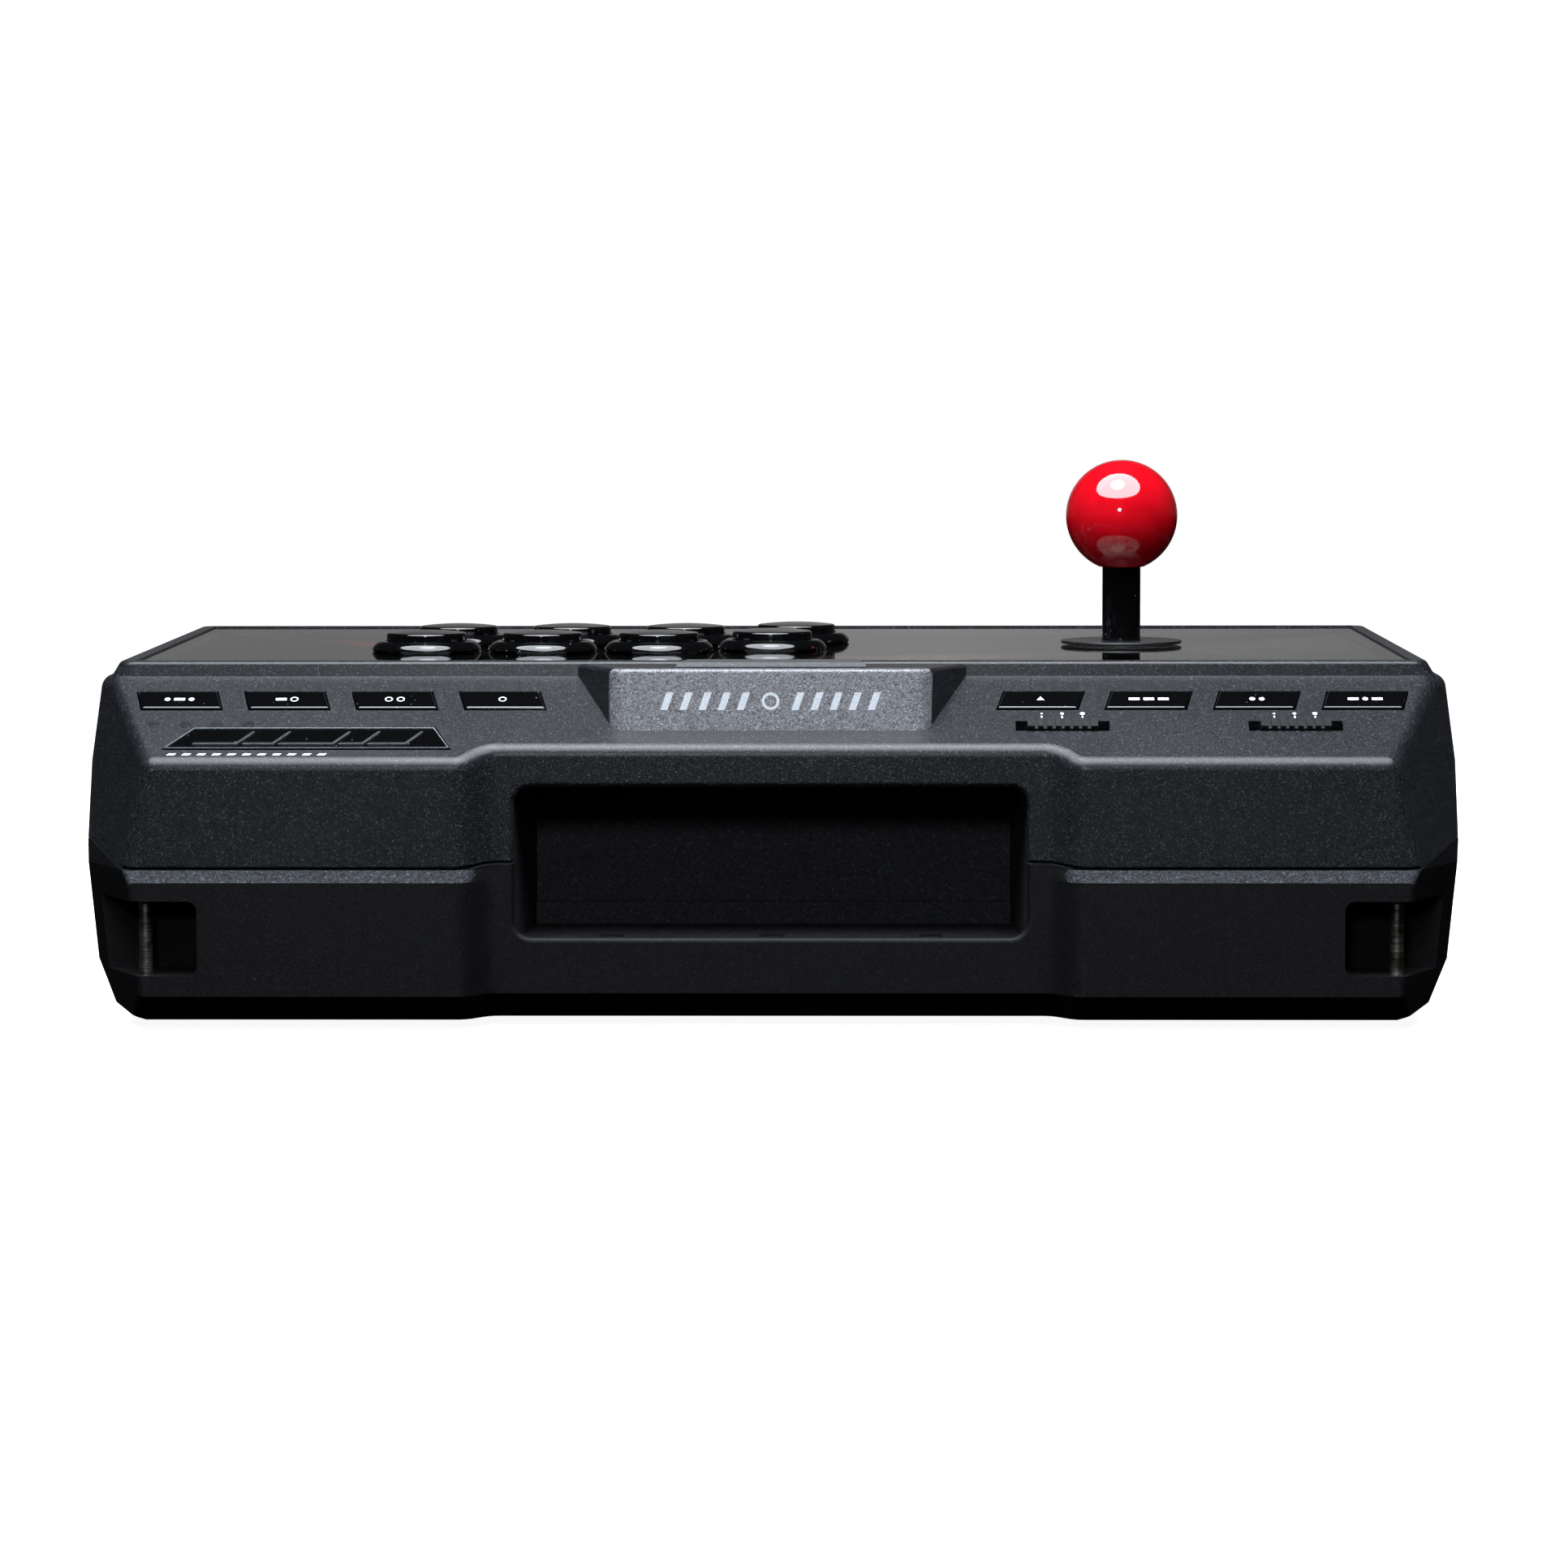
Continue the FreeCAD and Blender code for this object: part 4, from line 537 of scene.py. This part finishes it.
def addBoxMark():
    painted = [p for p in nodes["top_shell"].data.polygons if p.material_index == 1]
    faces = [p for p in painted if p.normal.y > boxMark["facesBack"]]
    area = sum(p.area for p in faces)
    out = sum((p.normal * p.area for p in faces), Vector()).normalized()
    origin = sum((p.center * p.area for p in faces), Vector()) / area
    up = Vector((1, 0, 0)).cross(out).normalized()
    shape = bmesh.new()
    addGlyph(shape, "ring", (0, 0), (boxMark["ring"] * mm,) * 2)
    for side in (-1, 1):
        for i in range(boxMark["bars"]):
            x = side * (boxMark["first"] + i * boxMark["pitch"]) * mm
            addGlyph(shape, "bar", (x, 0), [v * mm for v in boxMark["bar"]], boxMark["slant"])
    finishLayout("box_mark", shape, boxMark["thick"] * mm, planeMatrix(origin, out, up), "silverInk",
                 "case")
    print("marked the box")


addKeyMarks()
addSwitchMarks()
addBadgeTrim()
addBoxMark()


# the stage: a pale sweep that only the camera sees, so that it throws no light back on the black case
stage = {
    "flat": 3.2, "bend": 1.2, "wall": 2.0, "steps": 12, "turns": 64, "colour": "d8d8d8", "glow": 0.93}


def makeStage():
    mesh = bpy.data.meshes.new("sweep")
    shape = bmesh.new()
    points = [(0, 0), (stage["flat"], 0)]
    points += [(stage["flat"] + stage["bend"] * math.sin(a), stage["bend"] * (1 - math.cos(a)))
               for a in (math.pi / 2 * (i + 1) / stage["steps"] for i in range(stage["steps"]))]
    points.append((stage["flat"] + stage["bend"], stage["bend"] + stage["wall"]))
    profile = [shape.verts.new((x, 0, z)) for x, z in points]
    edges = [shape.edges.new(pair) for pair in zip(profile, profile[1:])]
    bmesh.ops.spin(shape, geom=profile + edges, cent=(0, 0, 0), axis=(0, 0, 1), angle=math.tau,
                   steps=stage["turns"], use_merge=True)
    bmesh.ops.remove_doubles(shape, verts=shape.verts, dist=0.001)
    bmesh.ops.recalc_face_normals(shape, faces=shape.faces)
    shape.to_mesh(mesh)
    shape.free()
    mesh.polygons.foreach_set("use_smooth", [True] * len(mesh.polygons))
    sweep = bpy.data.objects.new("sweep", mesh)
    bpy.context.scene.collection.objects.link(sweep)
    material, _, shader, _ = newMaterial("matte paper sweep")
    shader.inputs["Base Color"].default_value = hexToLinear(stage["colour"])
    shader.inputs["Roughness"].default_value = 0.9
    shader.inputs["Emission Color"].default_value = grey(1.0)
    shader.inputs["Emission Strength"].default_value = stage["glow"]
    mesh.materials.append(material)
    sweep.visible_diffuse = sweep.visible_glossy = sweep.visible_shadow = False


# the studio: a big oval overhead box with a hotter middle, a small light above the camera, and a dim room,
# whose brightness changes at these shares of the way from back to front, from floor to ceiling and across
studio = {
    "box": {"place": (0.06, 0.40, 1.12), "size": (1.68, 1.26), "power": 54},
    "core": {"place": (0.04, 0.36, 1.11), "size": (0.44, 0.44), "power": 5},
    "pin": {"place": (0.10, 1.60, 0.54), "size": (0.18, 0.18), "power": 3.0},
    "tint": "f3f9ff", "target": (0, 0.1, 0.1), "pinTarget": (0, 0, 0.1),
    "forward": ((0.0, 0.015), (0.5, 0.03), (0.93, 0.042), (0.985, 0.3)),
    "upward": ((0.47, 0.01), (0.5, 1.0), (0.6, 1.0), (0.75, 0.35)),
    "across": ((0.45, 0.66), (0.494, 1.0), (0.55, 0.66))}


def addLamp(name, look, target):
    light = bpy.data.lights.new(name, "AREA")
    light.shape, light.size, light.size_y = "ELLIPSE", look["size"][0], look["size"][1]
    light.energy = look["power"]
    light.color = hexToLinear(studio["tint"])[:3]
    lamp = bpy.data.objects.new(name, light)
    lamp.location = look["place"]
    lamp.rotation_euler = (Vector(target) - Vector(look["place"])).to_track_quat("-Z", "Y").to_euler()
    bpy.context.scene.collection.objects.link(lamp)


# brightness of the room along one direction, which runs from start to end
def shadeAlong(tree, way, start, end, stops):
    share = addNode(tree, "ShaderNodeMapRange", {"Value": way, "From Min": start, "From Max": end})
    return ramp(tree, share.outputs[0], *[(place, grey(level)) for place, level in stops])


# the room: a pale wall beyond the player's side, dimmer to the sides and dark behind and below
def makeRoom():
    world = bpy.data.worlds.new("studio")
    world.use_nodes = True
    tree = world.node_tree
    point = addNode(tree, "ShaderNodeTexCoord").outputs["Generated"]
    way = addNode(tree, "ShaderNodeSeparateXYZ", {"Vector": point})
    wall = shadeAlong(tree, way.outputs["Y"], 1.0, -1.0, studio["forward"])
    height = shadeAlong(tree, way.outputs["Z"], -1.0, 1.0, studio["upward"])
    middle = shadeAlong(tree, way.outputs["X"], -1.0, 1.0, studio["across"])
    for shade in (height, middle):
        wall = addNode(tree, "ShaderNodeMix", {0: 1.0, 6: wall, 7: shade}, data_type="RGBA",
                       blend_type="MULTIPLY").outputs[2]
    tree.links.new(wall, tree.nodes["Background"].inputs["Color"])
    bpy.context.scene.world = world


def makeLight():
    addLamp("overhead box", studio["box"], studio["target"])
    addLamp("overhead core", studio["core"], studio["target"])
    addLamp("camera pin", studio["pin"], studio["pinTarget"])
    makeRoom()


camera = {
    "place": (-0.0260, 1.6130, 0.1979), "yaw": -0.0147, "pitch": 0.0839, "roll": -0.0014, "lens": 118.15,
    "sensor": 36.0}


def makeCamera():
    data = bpy.data.cameras.new("camera")
    data.lens, data.sensor_width = camera["lens"], camera["sensor"]
    view = bpy.data.objects.new("camera", data)
    yaw, pitch = camera["yaw"], camera["pitch"]
    level = Vector((-math.sin(yaw), -math.cos(yaw), 0.0))
    right = Vector((-math.cos(yaw), math.sin(yaw), 0.0))
    forward = level * math.cos(pitch) - Vector((0, 0, math.sin(pitch)))
    up = right.cross(forward)
    turn = Matrix((right, up, -forward)).transposed()
    turn = turn @ Matrix.Rotation(camera["roll"], 3, "Z")
    view.matrix_world = Matrix.Translation(Vector(camera["place"])) @ turn.to_4x4()
    bpy.context.scene.collection.objects.link(view)
    bpy.context.scene.camera = view


makeStage()
makeLight()
makeCamera()
bpy.context.scene.view_settings.view_transform = "Standard"
bpy.context.view_layer.update()

print("scene ready")
